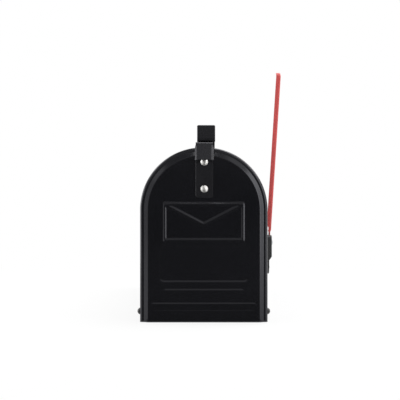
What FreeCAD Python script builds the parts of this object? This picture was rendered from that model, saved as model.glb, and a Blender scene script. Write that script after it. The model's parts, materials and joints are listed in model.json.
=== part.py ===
"""Rural mailbox: an arched sheet-steel box with a drop door, a roof catch and a signal flag.

Millimetres, +Z up. The door faces -Y and the flag stands on the +X side. The origin is the middle
of the floor panel's underside, where a mounting board seats. Heights that are named "..._height"
are counted from the lower edge of the side skirts.
"""

import FreeCAD
import Part
import math
import os

# Overall form
door_width = 164.0
door_height = 225.0
crown_flat = 4.0
body_length = 480.0
board_recess = 19.0
sheet = 0.6
fit_gap = 0.1

# Door pressing, from its outer edge inwards
flange_depth = 14.0
rim_radius = 3.2
ledge_width = 1.4
bevel_width = 5.8
bevel_rise = 3.2
press_radius = 1.2
door_clearance = 0.6
door_lift = 1.0
door_front_gap = 1.6

# Embossing on the door
bead_radius = 3.2
envelope_width = 100.0
envelope_low_height = 106.0
envelope_high_height = 152.0
envelope_flap_drop = 26.0
envelope_relief = 1.2
label_width = 113.0
label_low_height = 53.5
label_high_height = 98.0
label_depth = 0.7
label_slope = 1.6
label_corner = 4.0
upper_rib_height = 41.5
upper_rib_length = 98.0
lower_rib_height = 24.0
lower_rib_length = 130.0
rib_relief = 0.7
crease_height = 14.8
crease_length = 130.0
crease_relief = 0.4

# Side skirts, floor and rear panel
hem_depth = 6.0
skirt_hole_spacing = 300.0
skirt_hole_height = 9.5
skirt_hole_radius = 2.75
floor_flange = 12.0
floor_bend = 1.0
floor_setback = 1.0
floor_rib_spacing = 80.0
floor_rib_length = 380.0
floor_rib_relief = 1.0
rear_depth = 9.0
rear_field_inset = 14.0
rear_field_slope = 4.0
rear_field_rise = 2.4
rear_bend = 1.5
seam_depth = 7.0
seam_lift = 0.5

# Door hinge
hinge_height = 14.2
hinge_setback = 7.8
hinge_pin_radius = 2.5
hinge_head_radius = 4.3
hinge_head_height = 3.5
hinge_tail_radius = 3.7
hinge_tail_height = 1.3
hinge_washer_radius = 4.4
hinge_washer_thickness = 0.5
hinge_swing_room = 0.8
running_gap = 0.08
assembly_gap = 0.05

# Pull strap on the door
strap_offset = 0.6
strap_width = 22.0
strap_thickness = 1.2
strap_low_height = 160.0
strap_top_height = 231.0
strap_corner = 3.0
strap_bend = 1.2
pull_reach = 8.0
pull_low_height = 208.2
pull_tilt = 20.0
pull_flat = 18.0
pull_lip = 3.8
pull_lip_angle = 40.0
pull_lip_start = 3.0
lower_screw_height = 171.6
upper_screw_height = 206.1
screw_radius = 2.5
screw_hole_gap = 0.1
screw_head_radius = 4.75
screw_head_height = 3.0
screw_point = 1.2
washer_radius = 5.0
washer_thickness = 1.0
nut_flats = 8.0
nut_height = 4.0

# Roof catch
catch_offset = 2.9
catch_width = 23.0
catch_thickness = 1.2
catch_top_height = 252.7
catch_clearance = 0.6
catch_tab_bend = 2.8
catch_bend = 1.5
catch_tab_reach = 6.4
catch_ramp_start = 9.0
catch_ramp_run = 9.0
catch_base_length = 42.0
catch_corner = 1.5
catch_rivet_margin = 9.0
catch_rivet_radius = 2.0
catch_rivet_head_radius = 4.0
catch_rivet_head_height = 1.8
catch_rivet_tail_radius = 3.2
catch_rivet_tail_height = 1.2

# Signal flag and its bracket
flag_setback = 50.0
flag_pivot_height = 101.0
flag_top_height = 326.0
flag_thickness = 1.2
flag_shank_radius = 9.0
flag_blade_width = 48.0
flag_blade_height = 136.0
flag_taper = 10.0
flag_bend_height = 117.0
flag_lean = 3.9
flag_tip_radius = 6.0
flag_corner = 6.0
flag_rib_radius = 4.0
flag_rib_relief = 1.1
flag_rib_margin = 24.0
flag_edge_width = 5.8
flag_edge_height = 134.0
flag_edge_taper = 8.0
flag_edge_bend = 0.8
flag_play = 0.3
flag_washer_radius = 7.0
flag_washer_thickness = 0.5
bracket_width = 26.0
bracket_top_height = 111.0
bracket_step_height = 78.0
bracket_step_rise = 5.0
bracket_low_height = 59.7
bracket_tail_thickness = 5.6
bracket_spacer = 5.1
bracket_cheek = 1.7
bracket_top_corner = 4.0
bracket_tail_corner = 11.0
bracket_edge = 1.2
bracket_rivet_height = 68.0
bracket_rivet_radius = 1.6
bracket_rivet_head_radius = 3.2
bracket_rivet_head_height = 1.2
bracket_rivet_tail_radius = 2.8
pivot_head_radius = 4.2
pivot_head_height = 2.0

# Places that follow from the sizes
X_AXIS = FreeCAD.Vector(1, 0, 0)
Y_AXIS = FreeCAD.Vector(0, 1, 0)
Z_AXIS = FreeCAD.Vector(0, 0, 1)
TOLERANCE = 1e-4
MARGIN = 1.0
HEXAGON = 6
QUARTER_TURN = 90

half_crown = crown_flat / 2
arch_radius = door_width / 2 - half_crown
bottom = -board_recess
spring_line = bottom + door_height - arch_radius
panel_y = -body_length / 2
rear_y = body_length / 2
ledge_y = panel_y + bevel_rise
flange_rear_y = ledge_y + flange_depth
door_low = bottom + door_lift
ledge_inset = rim_radius + ledge_width
panel_inset = ledge_inset + bevel_width

shell_inset = sheet + door_clearance
shell_inner_inset = shell_inset + sheet
shell_half = door_width / 2 - shell_inset
shell_inner_half = shell_half - sheet
shell_front_y = ledge_y + sheet + door_front_gap
shell_rear_y = rear_y - sheet - fit_gap
roof = spring_line + arch_radius - shell_inset
rear_panel_y = rear_y - rear_depth

hinge_y = ledge_y + hinge_setback
hinge_z = bottom + hinge_height
hinge_swing = math.hypot(hinge_y - panel_y, hinge_z - door_low) + hinge_swing_room
hinge_lug = hinge_y - shell_front_y

strap_front_y = panel_y - strap_thickness
strap_top = bottom + strap_top_height
screw_heights = (bottom + lower_screw_height, bottom + upper_screw_height)
screw_grip = strap_thickness + sheet
screw_length = screw_grip + washer_thickness + nut_height + screw_point

catch_underside = strap_top + catch_clearance
catch_tab_y = panel_y - catch_tab_reach
catch_ramp_low_y = flange_rear_y + catch_ramp_start + catch_ramp_run
catch_ramp_high_y = flange_rear_y + catch_ramp_start
catch_rear_y = catch_ramp_low_y + catch_base_length
catch_rivet_places = (catch_ramp_low_y + catch_rivet_margin, catch_rear_y - catch_rivet_margin)

pivot_y = panel_y + flag_setback
pivot_z = bottom + flag_pivot_height
slot_x = shell_half + bracket_spacer
slot_width = flag_washer_thickness + flag_thickness + 2 * flag_play
flag_x = slot_x + flag_washer_thickness + flag_play
bracket_face_x = slot_x + slot_width + bracket_cheek
bracket_tail_x = shell_half + bracket_tail_thickness


def vector(x, y, z):
    return FreeCAD.Vector(x, y, z)


def box(low, high):
    """Box between two corners."""
    size = high - low
    return Part.makeBox(size.x, size.y, size.z, low)


def arch_wire(inset, y, low):
    """The arched outline, inset from the door's outer edge, in the plane at y, flat at its foot."""
    half = door_width / 2 - inset
    radius = arch_radius - inset
    diagonal = radius * math.cos(math.pi / 4)
    crown = spring_line + radius
    left_foot = vector(-half, y, low)
    left_spring = vector(-half, y, spring_line)
    left_mid = vector(-half_crown - diagonal, y, spring_line + diagonal)
    left_crown = vector(-half_crown, y, crown)
    right_crown = vector(half_crown, y, crown)
    right_mid = vector(half_crown + diagonal, y, spring_line + diagonal)
    right_spring = vector(half, y, spring_line)
    right_foot = vector(half, y, low)
    return Part.Wire([
        Part.makeLine(left_foot, left_spring),
        Part.Arc(left_spring, left_mid, left_crown).toShape(),
        Part.makeLine(left_crown, right_crown),
        Part.Arc(right_crown, right_mid, right_spring).toShape(),
        Part.makeLine(right_spring, right_foot),
        Part.makeLine(right_foot, left_foot),
    ])


def arch_block(inset, front, rear, low):
    """Solid arch between two planes across the box."""
    return Part.Face(arch_wire(inset, front, low)).extrude(vector(0, rear - front, 0))


def edges_along(solid, axis):
    """Straight edges of a solid that run along an axis."""
    def runs_along(edge):
        first, last = edge.Vertexes[0].Point, edge.Vertexes[-1].Point
        return edge.Length > TOLERANCE and (last - first).cross(axis).Length < TOLERANCE * edge.Length
    return [edge for edge in solid.Edges if isinstance(edge.Curve, Part.Line) and runs_along(edge)]


def rounded_path(points, radii):
    """Edges of an open run of points in one plane, with each inner corner rounded."""
    edges = []
    start = points[0]
    for before, corner, after, radius in zip(points, points[1:], points[2:], radii):
        into = (corner - before).normalize()
        out = (after - corner).normalize()
        half_turn = into.getAngle(out) / 2
        inward = (out - into).normalize()
        first = corner - into * (radius * math.tan(half_turn))
        last = corner + out * (radius * math.tan(half_turn))
        middle = corner + inward * (radius / math.cos(half_turn) - radius)
        edges.append(Part.makeLine(start, first))
        edges.append(Part.Arc(first, middle, last).toShape())
        start = last
    edges.append(Part.makeLine(start, points[-1]))
    return edges


def sheet_section(points, bends, thickness, normal):
    """Section of a folded sheet: points trace its outer face, the sheet lies on their left.

    Left is as seen against normal, and bends are the inner bend radii.
    """
    runs = [(b - a).normalize() for a, b in zip(points, points[1:])]
    sides = [normal.cross(run) for run in runs]
    far = [points[0] + sides[0] * thickness]
    near_radii = []
    far_radii = []
    for index, bend in enumerate(bends):
        side, next_side = sides[index], sides[index + 1]
        mitre = (side + next_side) * (thickness / (1 + side.dot(next_side)))
        far.append(points[index + 1] + mitre)
        turns_left = normal.dot(runs[index].cross(runs[index + 1])) > 0
        near_radii.append(bend + thickness if turns_left else bend)
        far_radii.append(bend if turns_left else bend + thickness)
    far.append(points[-1] + sides[-1] * thickness)
    edges = rounded_path(points, near_radii)
    edges.append(Part.makeLine(points[-1], far[-1]))
    edges += rounded_path(far[::-1], far_radii[::-1])
    edges.append(Part.makeLine(far[0], points[0]))
    return Part.Face(Part.Wire(edges))


def bent_sheet(points, bends, thickness, normal, width):
    """Folded sheet of one section, width deep along normal."""
    return sheet_section(points, bends, thickness, normal).extrude(normal * width)


def arch_sheet(profile, bends, low):
    """Sheet pressed to one section all round the arch, given as (inset, y) points on its outer face."""
    points = [vector(door_width / 2 - inset, y, spring_line) for inset, y in profile]
    section = sheet_section(points, bends, sheet, Z_AXIS * -1)
    centre = vector(half_crown, 0, spring_line)
    leg = section.extrude(vector(0, 0, low - spring_line))
    bend = section.revolve(centre, Y_AXIS * -1, QUARTER_TURN)
    top = section.copy()
    top.rotate(centre, Y_AXIS * -1, QUARTER_TURN)
    right = leg.multiFuse([bend, top.extrude(vector(-half_crown, 0, 0))])
    return right.fuse(right.mirror(vector(0, 0, 0), X_AXIS))


def capsule(start, end, radius):
    """Round bar with ball ends."""
    run = end - start
    bar = Part.makeCylinder(radius, run.Length, start, run)
    balls = [Part.makeSphere(radius, point) for point in (start, end)]
    return bar.multiFuse(balls)


def domed_head(place, axis, radius, height):
    """Round head that rises from its seat at place along axis."""
    ball = (radius ** 2 + height ** 2) / (2 * height)
    dome = Part.makeSphere(ball, vector(0, 0, height - ball))
    head = dome.common(Part.makeCylinder(radius + MARGIN, height + MARGIN))
    head.Placement = FreeCAD.Placement(place, FreeCAD.Rotation(Z_AXIS, axis))
    return head


def fastener(seat, axis, head, shank_radius, length, tail=None):
    """Domed head outside seat, shank inwards, and a set tail where it is a rivet."""
    pieces = [Part.makeCylinder(shank_radius, length, seat, axis * -1)]
    if tail:
        tail_radius, tail_height = tail
        pieces.append(Part.makeCylinder(tail_radius, tail_height, seat - axis * length, axis * -1))
    return domed_head(seat, axis, *head).multiFuse(pieces).removeSplitter()


def ring(place, axis, inner, outer, thickness):
    """Flat washer that starts at place and runs along axis."""
    return Part.makeCylinder(outer, thickness, place, axis).cut(
        Part.makeCylinder(inner, thickness, place, axis)
    )


def hex_nut(place, axis, bore):
    """Plain hexagon nut that starts at place and runs along axis."""
    corner = nut_flats / 2 / math.cos(math.pi / HEXAGON)
    angles = [2 * math.pi * step / HEXAGON for step in range(HEXAGON + 1)]
    outline = Part.makePolygon([vector(corner * math.cos(a), corner * math.sin(a), 0) for a in angles])
    nut = Part.Face(outline).extrude(Z_AXIS * nut_height)
    nut = nut.cut(Part.makeCylinder(bore, nut_height))
    nut.Placement = FreeCAD.Placement(place, FreeCAD.Rotation(Z_AXIS, axis))
    return nut


def along_x(radius, y, z, low, high):
    """Round tool across the box, for a hole through its sides."""
    return Part.makeCylinder(radius, high - low, vector(low, y, z), X_AXIS)


def along_y(radius, x, z):
    """Round tool along the box, for a hole through the door and its strap."""
    return Part.makeCylinder(radius, flange_depth, vector(x, strap_front_y - MARGIN, z), Y_AXIS)


def label_block(front, rear):
    """Tapered block of the sunk label panel between two (y, spread) outlines."""
    def outline(y, spread):
        low = vector(-label_width / 2 - spread, y, bottom + label_low_height - spread)
        high = vector(label_width / 2 + spread, y, bottom + label_high_height + spread)
        right_foot = vector(high.x, y, low.z)
        left_head = vector(low.x, y, high.z)
        start = (low + right_foot) / 2
        corners = [right_foot, high, left_head, low]
        return Part.Wire(rounded_path([start] + corners + [start], [label_corner + spread] * len(corners)))
    return Part.makeLoft([outline(*front), outline(*rear)], True, True)


def door_bead_runs():
    """Ends and relief of each pressed bead: the envelope outline, two ribs and the low crease."""
    side = envelope_width / 2
    low = bottom + envelope_low_height
    high = bottom + envelope_high_height
    corners = [(-side, low), (side, low), (side, high), (-side, high)]
    flap_tip = (0, high - envelope_flap_drop)
    runs = [(a, b, envelope_relief) for a, b in zip(corners, corners[1:] + corners[:1])]
    runs += [(corners[3], flap_tip, envelope_relief), (flap_tip, corners[2], envelope_relief)]
    for height, length, relief in (
        (upper_rib_height, upper_rib_length, rib_relief),
        (lower_rib_height, lower_rib_length, rib_relief),
        (crease_height, crease_length, crease_relief),
    ):
        runs.append(((-length / 2, bottom + height), (length / 2, bottom + height), relief))
    return runs


def door_panel():
    """Pressed door: raised panel, bevel, ledge, rounded rim and a flange turned back over the box."""
    profile = [
        (0, flange_rear_y),
        (0, ledge_y),
        (ledge_inset, ledge_y),
        (panel_inset, panel_y),
        (panel_inset + bevel_width, panel_y),
    ]
    rim = arch_sheet(profile, [rim_radius - sheet, press_radius, press_radius], door_low)
    field = arch_block(panel_inset + bevel_width, panel_y, panel_y + sheet, door_low)
    sunk_back = label_block((panel_y, label_slope), (panel_y + label_depth + sheet, -label_slope))
    sunk_front = label_block((panel_y - label_depth, label_slope), (panel_y + label_depth, -label_slope))
    ahead = box(
        vector(-door_width, panel_y - bead_radius, bottom),
        vector(door_width, panel_y + sheet, bottom + door_height),
    )
    beads = []
    hollows = []
    for (x0, z0), (x1, z1), relief in door_bead_runs():
        depth = panel_y + bead_radius - relief
        start = vector(x0, depth, z0)
        end = vector(x1, depth, z1)
        beads.append(capsule(start, end, bead_radius).common(ahead))
        hollows.append(capsule(start, end, bead_radius - sheet))
    door = rim.multiFuse([field, sunk_back] + beads).cut([sunk_front] + hollows)
    reach = door_width / 2 + MARGIN
    tools = [along_x(hinge_pin_radius + running_gap, hinge_y, hinge_z, -reach, reach)]
    tools += [along_y(screw_radius + screw_hole_gap, strap_offset, z) for z in screw_heights]
    return door.cut(tools).removeSplitter()


def body_shell():
    """Wrap of roof and sides, hemmed along the skirts and cut away where the door's foot swings."""
    wrap = arch_block(shell_inset, shell_front_y, shell_rear_y, bottom)
    inside = arch_block(shell_inner_inset, shell_front_y - MARGIN, shell_rear_y + MARGIN, bottom - MARGIN)
    hem_front = hinge_y + hinge_swing
    hem_rear = rear_panel_y - fit_gap
    hems = [
        box(vector(low, hem_front, bottom), vector(low + sheet, hem_rear, bottom + hem_depth))
        for low in (-shell_inner_half, shell_inner_half - sheet)
    ]
    shell = wrap.cut(inside).multiFuse(hems)
    reach = shell_half + MARGIN
    ahead = box(vector(-reach, shell_front_y - MARGIN, bottom - MARGIN), vector(reach, hinge_y, hinge_z))
    ahead = ahead.cut(along_x(hinge_lug, hinge_y, hinge_z, -reach, reach))
    behind = box(
        vector(-reach, hinge_y - MARGIN, bottom - MARGIN),
        vector(reach, hinge_y + hinge_swing, hinge_z - hinge_lug),
    )
    tools = [ahead, behind, along_x(hinge_pin_radius + assembly_gap, hinge_y, hinge_z, -reach, reach)]
    for y in (-skirt_hole_spacing / 2, skirt_hole_spacing / 2):
        tools.append(along_x(skirt_hole_radius, y, bottom + skirt_hole_height, -reach, reach))
    tools.append(along_x(screw_radius + assembly_gap, pivot_y, pivot_z, 0, reach))
    rivet_z = bottom + bracket_rivet_height
    tools.append(along_x(bracket_rivet_radius + assembly_gap, pivot_y, rivet_z, 0, reach))
    return shell.cut(tools + catch_holes())


def floor_panel():
    """Raised floor with turned-up sides and two pressed runners."""
    half = shell_inner_half - fit_gap
    front = shell_front_y + floor_setback
    rear = rear_panel_y - fit_gap
    corners = [(-half, floor_flange), (-half, 0), (half, 0), (half, floor_flange)]
    points = [vector(x, rear, z) for x, z in corners]
    floor = bent_sheet(points, [floor_bend, floor_bend], sheet, Y_AXIS * -1, rear - front)
    middle = (front + rear) / 2
    outer = []
    inner = []
    for x in (-floor_rib_spacing / 2, floor_rib_spacing / 2):
        depth = sheet + floor_rib_relief - bead_radius
        start = vector(x, middle - floor_rib_length / 2, depth)
        end = vector(x, middle + floor_rib_length / 2, depth)
        outer.append(capsule(start, end, bead_radius))
        inner.append(capsule(start, end, bead_radius - sheet))
    above = box(vector(-half, front, 0), vector(half, rear, floor_flange))
    ribs = [bead.common(above) for bead in outer]
    return floor.multiFuse(ribs).cut(inner)


def rear_panel():
    """Pressed rear panel, its edge rolled round the end of the wrap in a hooked seam."""
    low = bottom + seam_lift
    wall_inset = shell_inner_inset + fit_gap + sheet
    seam_inset = shell_inset - fit_gap - sheet
    face_y = rear_panel_y + sheet
    field_y = face_y + rear_field_rise
    slope_end = rear_field_inset + rear_field_slope
    profile = [
        (slope_end + rear_field_slope, field_y),
        (slope_end, field_y),
        (rear_field_inset, face_y),
        (wall_inset, face_y),
        (wall_inset, rear_y),
        (seam_inset, rear_y),
        (seam_inset, rear_y - seam_depth),
    ]
    bends = [press_radius, press_radius, rear_bend, fit_gap, fit_gap]
    rim = arch_sheet(profile, bends, low)
    field = arch_block(slope_end + rear_field_slope, field_y - sheet, field_y, low)
    return rim.fuse(field).removeSplitter()


def hinge_rivets():
    """Two rivets that the door swings on, one through each skirt."""
    rivets = []
    for side in (-1, 1):
        axis = X_AXIS * side
        seat = vector(side * (door_width / 2 + assembly_gap), hinge_y, hinge_z)
        length = door_width / 2 + 2 * assembly_gap - shell_inner_half
        rivets.append(fastener(
            seat, axis, (hinge_head_radius, hinge_head_height), hinge_pin_radius, length,
            (hinge_tail_radius, hinge_tail_height),
        ))
    return Part.makeCompound(rivets)


def hinge_washers():
    """Thin washers that keep the door's flange off the painted skirts."""
    spare = (door_clearance - hinge_washer_thickness) / 2
    return Part.makeCompound([
        ring(
            vector(side * (shell_half + spare), hinge_y, hinge_z), X_AXIS * side,
            hinge_pin_radius + assembly_gap, hinge_washer_radius, hinge_washer_thickness,
        )
        for side in (-1, 1)
    ])


def pull_strap():
    """Door strap: flat on the panel, folded forward over the crown into a lipped finger pull."""
    tilt = math.radians(pull_tilt)
    low = bottom + strap_low_height
    drop = strap_top_height - pull_low_height
    left = strap_offset - strap_width / 2
    down = vector(0, -math.sin(tilt), -math.cos(tilt))
    fold = vector(left, panel_y - pull_reach, strap_top)
    points = [
        vector(left, panel_y, low),
        vector(left, panel_y, strap_top),
        fold,
        fold + down * (drop / math.cos(tilt)),
    ]
    strap = bent_sheet(points, [strap_bend, strap_bend], strap_thickness, X_AXIS, strap_width)
    foot = [edge for edge in edges_along(strap, Y_AXIS) if abs(edge.CenterOfMass.z - low) < TOLERANCE]
    strap = strap.makeFillet(strap_corner, foot)
    inward = X_AXIS.cross(down)
    start = fold + down * (pull_lip_start + strap_thickness) + X_AXIS * (strap_width / 2)
    length = drop / math.cos(tilt) - pull_lip_start - strap_thickness
    turn = math.radians(pull_lip_angle)
    through = inward * strap_thickness
    lips = []
    edges = []
    for side in (-1, 1):
        out = X_AXIS * side
        bend = start + out * (pull_flat / 2)
        flare = (out * math.cos(turn) + inward * math.sin(turn)) * pull_lip
        root = bend - out * strap_thickness
        lip = [bend, bend + flare, bend + flare + through, root + through, root, bend]
        lips.append(Part.Face(Part.makePolygon(lip)).extrude(down * length))
        rim = bend + out * strap_width - through
        trim = [bend - through, rim, rim + through * 3, bend + through * 2, bend - through]
        edges.append(Part.Face(Part.makePolygon(trim)).extrude(down * (length + MARGIN)))
    strap = strap.cut(edges)
    strap = strap.multiFuse(lips).removeSplitter()
    return strap.cut([along_y(screw_radius + screw_hole_gap, strap_offset, z) for z in screw_heights])


def strap_screws():
    """Two round-head screws through strap and door."""
    head = (screw_head_radius, screw_head_height)
    return Part.makeCompound([
        fastener(vector(strap_offset, strap_front_y, z), Y_AXIS * -1, head, screw_radius, screw_length)
        for z in screw_heights
    ])


def strap_washers():
    """Washers under the nuts inside the door."""
    return Part.makeCompound([
        ring(
            vector(strap_offset, panel_y + sheet, z), Y_AXIS,
            screw_radius + screw_hole_gap, washer_radius, washer_thickness,
        )
        for z in screw_heights
    ])


def strap_nuts():
    """Nuts on the strap screws."""
    y = panel_y + sheet + washer_thickness
    return Part.makeCompound([
        hex_nut(vector(strap_offset, y, z), Y_AXIS, screw_radius + assembly_gap) for z in screw_heights
    ])


def catch_holes():
    """Tools for the rivet holes through catch and roof."""
    low = roof - sheet - MARGIN
    height = sheet + catch_thickness + 2 * MARGIN
    radius = catch_rivet_radius + assembly_gap
    return [Part.makeCylinder(radius, height, vector(catch_offset, y, low)) for y in catch_rivet_places]


def roof_catch():
    """Spring strip on the roof: it steps over the door and ends in an upturned thumb tab."""
    left = catch_offset - catch_width / 2
    profile = [
        (catch_tab_y, bottom + catch_top_height),
        (catch_tab_y, catch_underside),
        (catch_ramp_high_y, catch_underside),
        (catch_ramp_low_y, roof),
        (catch_rear_y, roof),
    ]
    points = [vector(left, y, z) for y, z in profile]
    bends = [catch_tab_bend, catch_bend, catch_bend]
    strip = bent_sheet(points, bends, catch_thickness, X_AXIS, catch_width)
    tab_top = bottom + catch_top_height
    tips = [e for e in edges_along(strip, Y_AXIS) if abs(e.CenterOfMass.z - tab_top) < TOLERANCE]
    tips += [e for e in edges_along(strip, Z_AXIS) if abs(e.CenterOfMass.y - catch_rear_y) < TOLERANCE]
    strip = strip.makeFillet(catch_corner, tips)
    return strip.cut(catch_holes())


def catch_rivets():
    """Two domed rivets that hold the catch on the roof."""
    head = (catch_rivet_head_radius, catch_rivet_head_height)
    tail = (catch_rivet_tail_radius, catch_rivet_tail_height)
    length = catch_thickness + sheet + 2 * fit_gap
    seats = [vector(catch_offset, y, roof + catch_thickness) for y in catch_rivet_places]
    rivets = [fastener(seat, Z_AXIS, head, catch_rivet_radius, length, tail) for seat in seats]
    return Part.makeCompound(rivets)


def turned_edge(knee, lean, outward):
    """Front edge of the flag's blade, turned towards the box, its ends cut at a slant."""
    start = knee + lean * (flag_edge_height - flag_bend_height)
    end = knee + lean * (flag_top_height - flag_tip_radius - flag_bend_height)
    inward = outward * (flag_thickness - flag_edge_width)
    skin = outward * (flag_thickness / 2)
    slant = lean * flag_edge_taper
    corners = [start + skin, start, start + slant + inward, end - slant / 2 + inward, end, end + skin]
    return Part.Face(Part.makePolygon(corners + corners[:1])).extrude(Y_AXIS * flag_thickness)


def flag_blade():
    """Signal flag: a round-ended shank that bends out into a broad blade with a rib and a turned edge."""
    top = bottom + flag_top_height
    blade_low = bottom + flag_blade_height
    bend = bottom + flag_bend_height
    front = pivot_y - flag_shank_radius
    back = pivot_y + flag_shank_radius
    blade_back = front + flag_blade_width
    reach = bracket_face_x + flag_top_height
    outline = [(front, pivot_z), (front, top), (blade_back, top), (blade_back, blade_low)]
    outline += [(back, blade_low - flag_taper), (back, pivot_z)]
    points = [vector(0, y, z) for y, z in outline]
    edges = rounded_path(points, [flag_tip_radius, flag_corner, flag_corner, flag_corner])
    foot = vector(0, pivot_y, pivot_z - flag_shank_radius)
    edges.append(Part.Arc(points[-1], foot, points[0]).toShape())
    blank = Part.Face(Part.Wire(edges)).extrude(X_AXIS * reach)
    lean = vector(math.sin(math.radians(flag_lean)), 0, math.cos(math.radians(flag_lean)))
    knee = vector(flag_x, front - MARGIN, bend)
    heel = vector(flag_x, front - MARGIN, pivot_z - flag_shank_radius - MARGIN)
    tip = knee + lean * ((top - bend + MARGIN) / lean.z)
    span = flag_blade_width + 2 * MARGIN
    plate = bent_sheet([heel, knee, tip], [flag_thickness], flag_thickness, Y_AXIS, span)
    outward = Y_AXIS.cross(lean)
    edge = turned_edge(knee + Y_AXIS * MARGIN, lean, outward)
    blade = plate.common(blank).fuse(edge).removeSplitter()
    outer = knee + outward * flag_thickness
    rims = [
        edge for edge in blade.Edges
        if all(abs((vertex.Point - outer).dot(outward)) < TOLERANCE for vertex in edge.Vertexes)
        and edge.BoundBox.ZMax > bottom + flag_edge_height
    ]
    blade = blade.makeFillet(flag_edge_bend, rims)
    middle = vector(flag_x, front + flag_blade_width / 2, bend)
    sink = outward * (flag_thickness + flag_rib_relief - flag_rib_radius)
    first = middle + lean * (blade_low - bend + flag_rib_margin) + sink
    last = middle + lean * (top - bend - flag_rib_margin) + sink
    rib = capsule(first, last, flag_rib_radius)
    hollow = capsule(first, last, flag_rib_radius - flag_thickness)
    outer_side = bent_sheet([heel, knee, tip], [flag_thickness], flag_rib_radius, Y_AXIS, span)
    blade = blade.fuse(rib.common(outer_side)).cut(hollow)
    return blade.cut(along_x(screw_radius + running_gap, pivot_y, pivot_z, shell_half, reach))


def flag_bracket():
    """Moulded bracket: a riveted tail and a housing with a slot, open above and behind, for the flag."""
    top = bottom + bracket_top_height
    low = bottom + bracket_low_height
    step = bottom + bracket_step_height
    front = pivot_y - bracket_width / 2
    profile = [
        (shell_half, low),
        (bracket_tail_x, low),
        (bracket_tail_x, step),
        (bracket_face_x, step + bracket_step_rise),
        (bracket_face_x, top),
        (shell_half, top),
        (shell_half, low),
    ]
    side = Part.makePolygon([vector(x, front, z) for x, z in profile])
    block = Part.Face(side).extrude(Y_AXIS * bracket_width)
    tops = [edge for edge in edges_along(block, X_AXIS) if edge.CenterOfMass.z > step]
    block = block.makeFillet(bracket_top_corner, tops)
    tails = [e for e in edges_along(block, X_AXIS) if abs(e.CenterOfMass.z - low) < TOLERANCE]
    block = block.makeFillet(bracket_tail_corner, tails)
    rims = [
        edge for edge in block.Edges
        if all(vertex.X > bracket_face_x - TOLERANCE for vertex in edge.Vertexes)
    ]
    block = block.makeFillet(bracket_edge, rims)
    slot_reach = flag_shank_radius + flag_play
    slot = box(
        vector(slot_x, pivot_y - slot_reach, pivot_z - slot_reach),
        vector(slot_x + slot_width, pivot_y + bracket_width, top + MARGIN),
    )
    reach = bracket_face_x + MARGIN
    pivot_hole = along_x(screw_radius + assembly_gap, pivot_y, pivot_z, 0, reach)
    rivet_z = bottom + bracket_rivet_height
    rivet_hole = along_x(bracket_rivet_radius + assembly_gap, pivot_y, rivet_z, 0, reach)
    return block.cut([slot, pivot_hole, rivet_hole])


def bracket_rivet():
    """Rivet that holds the bracket's tail to the side."""
    seat = vector(bracket_tail_x, pivot_y, bottom + bracket_rivet_height)
    head = (bracket_rivet_head_radius, bracket_rivet_head_height)
    tail = (bracket_rivet_tail_radius, bracket_rivet_head_height)
    return fastener(seat, X_AXIS, head, bracket_rivet_radius, bracket_tail_x - shell_inner_half, tail)


def pivot_screw():
    """Screw that the flag turns on, through bracket, flag and side."""
    seat = vector(bracket_face_x, pivot_y, pivot_z)
    length = bracket_face_x - shell_inner_half + washer_thickness + nut_height + screw_point
    return fastener(seat, X_AXIS, (pivot_head_radius, pivot_head_height), screw_radius, length)


def pivot_washer():
    """Flat washer inside the wall."""
    place = vector(shell_inner_half, pivot_y, pivot_z)
    return ring(place, X_AXIS * -1, screw_radius + assembly_gap, washer_radius, washer_thickness)


def pivot_nut():
    """Nut of the pivot screw."""
    place = vector(shell_inner_half - washer_thickness, pivot_y, pivot_z)
    return hex_nut(place, X_AXIS * -1, screw_radius + assembly_gap)


def friction_washer():
    """Washer that holds the flag where it is put."""
    place = vector(slot_x, pivot_y, pivot_z)
    return ring(place, X_AXIS, screw_radius + assembly_gap, flag_washer_radius, flag_washer_thickness)


NODES = {
    "body_shell": body_shell,
    "floor_panel": floor_panel,
    "rear_panel": rear_panel,
    "hinge_rivets": hinge_rivets,
    "hinge_washers": hinge_washers,
    "roof_catch": roof_catch,
    "catch_rivets": catch_rivets,
    "flag_bracket": flag_bracket,
    "flag_bracket_rivet": bracket_rivet,
    "flag_pivot_screw": pivot_screw,
    "flag_pivot_washer": pivot_washer,
    "flag_pivot_nut": pivot_nut,
    "flag_friction_washer": friction_washer,
    "flag_blade": flag_blade,
    "door_panel": door_panel,
    "door_pull_strap": pull_strap,
    "strap_screws": strap_screws,
    "strap_washers": strap_washers,
    "strap_nuts": strap_nuts,
}

os.makedirs("parts", exist_ok=True)
for node, build in NODES.items():
    build().exportStep("parts/" + node + ".step")
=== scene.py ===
"""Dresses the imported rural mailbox: enamelled sheets, fasteners, a red flag and a pale studio."""

import json
import math

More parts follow.
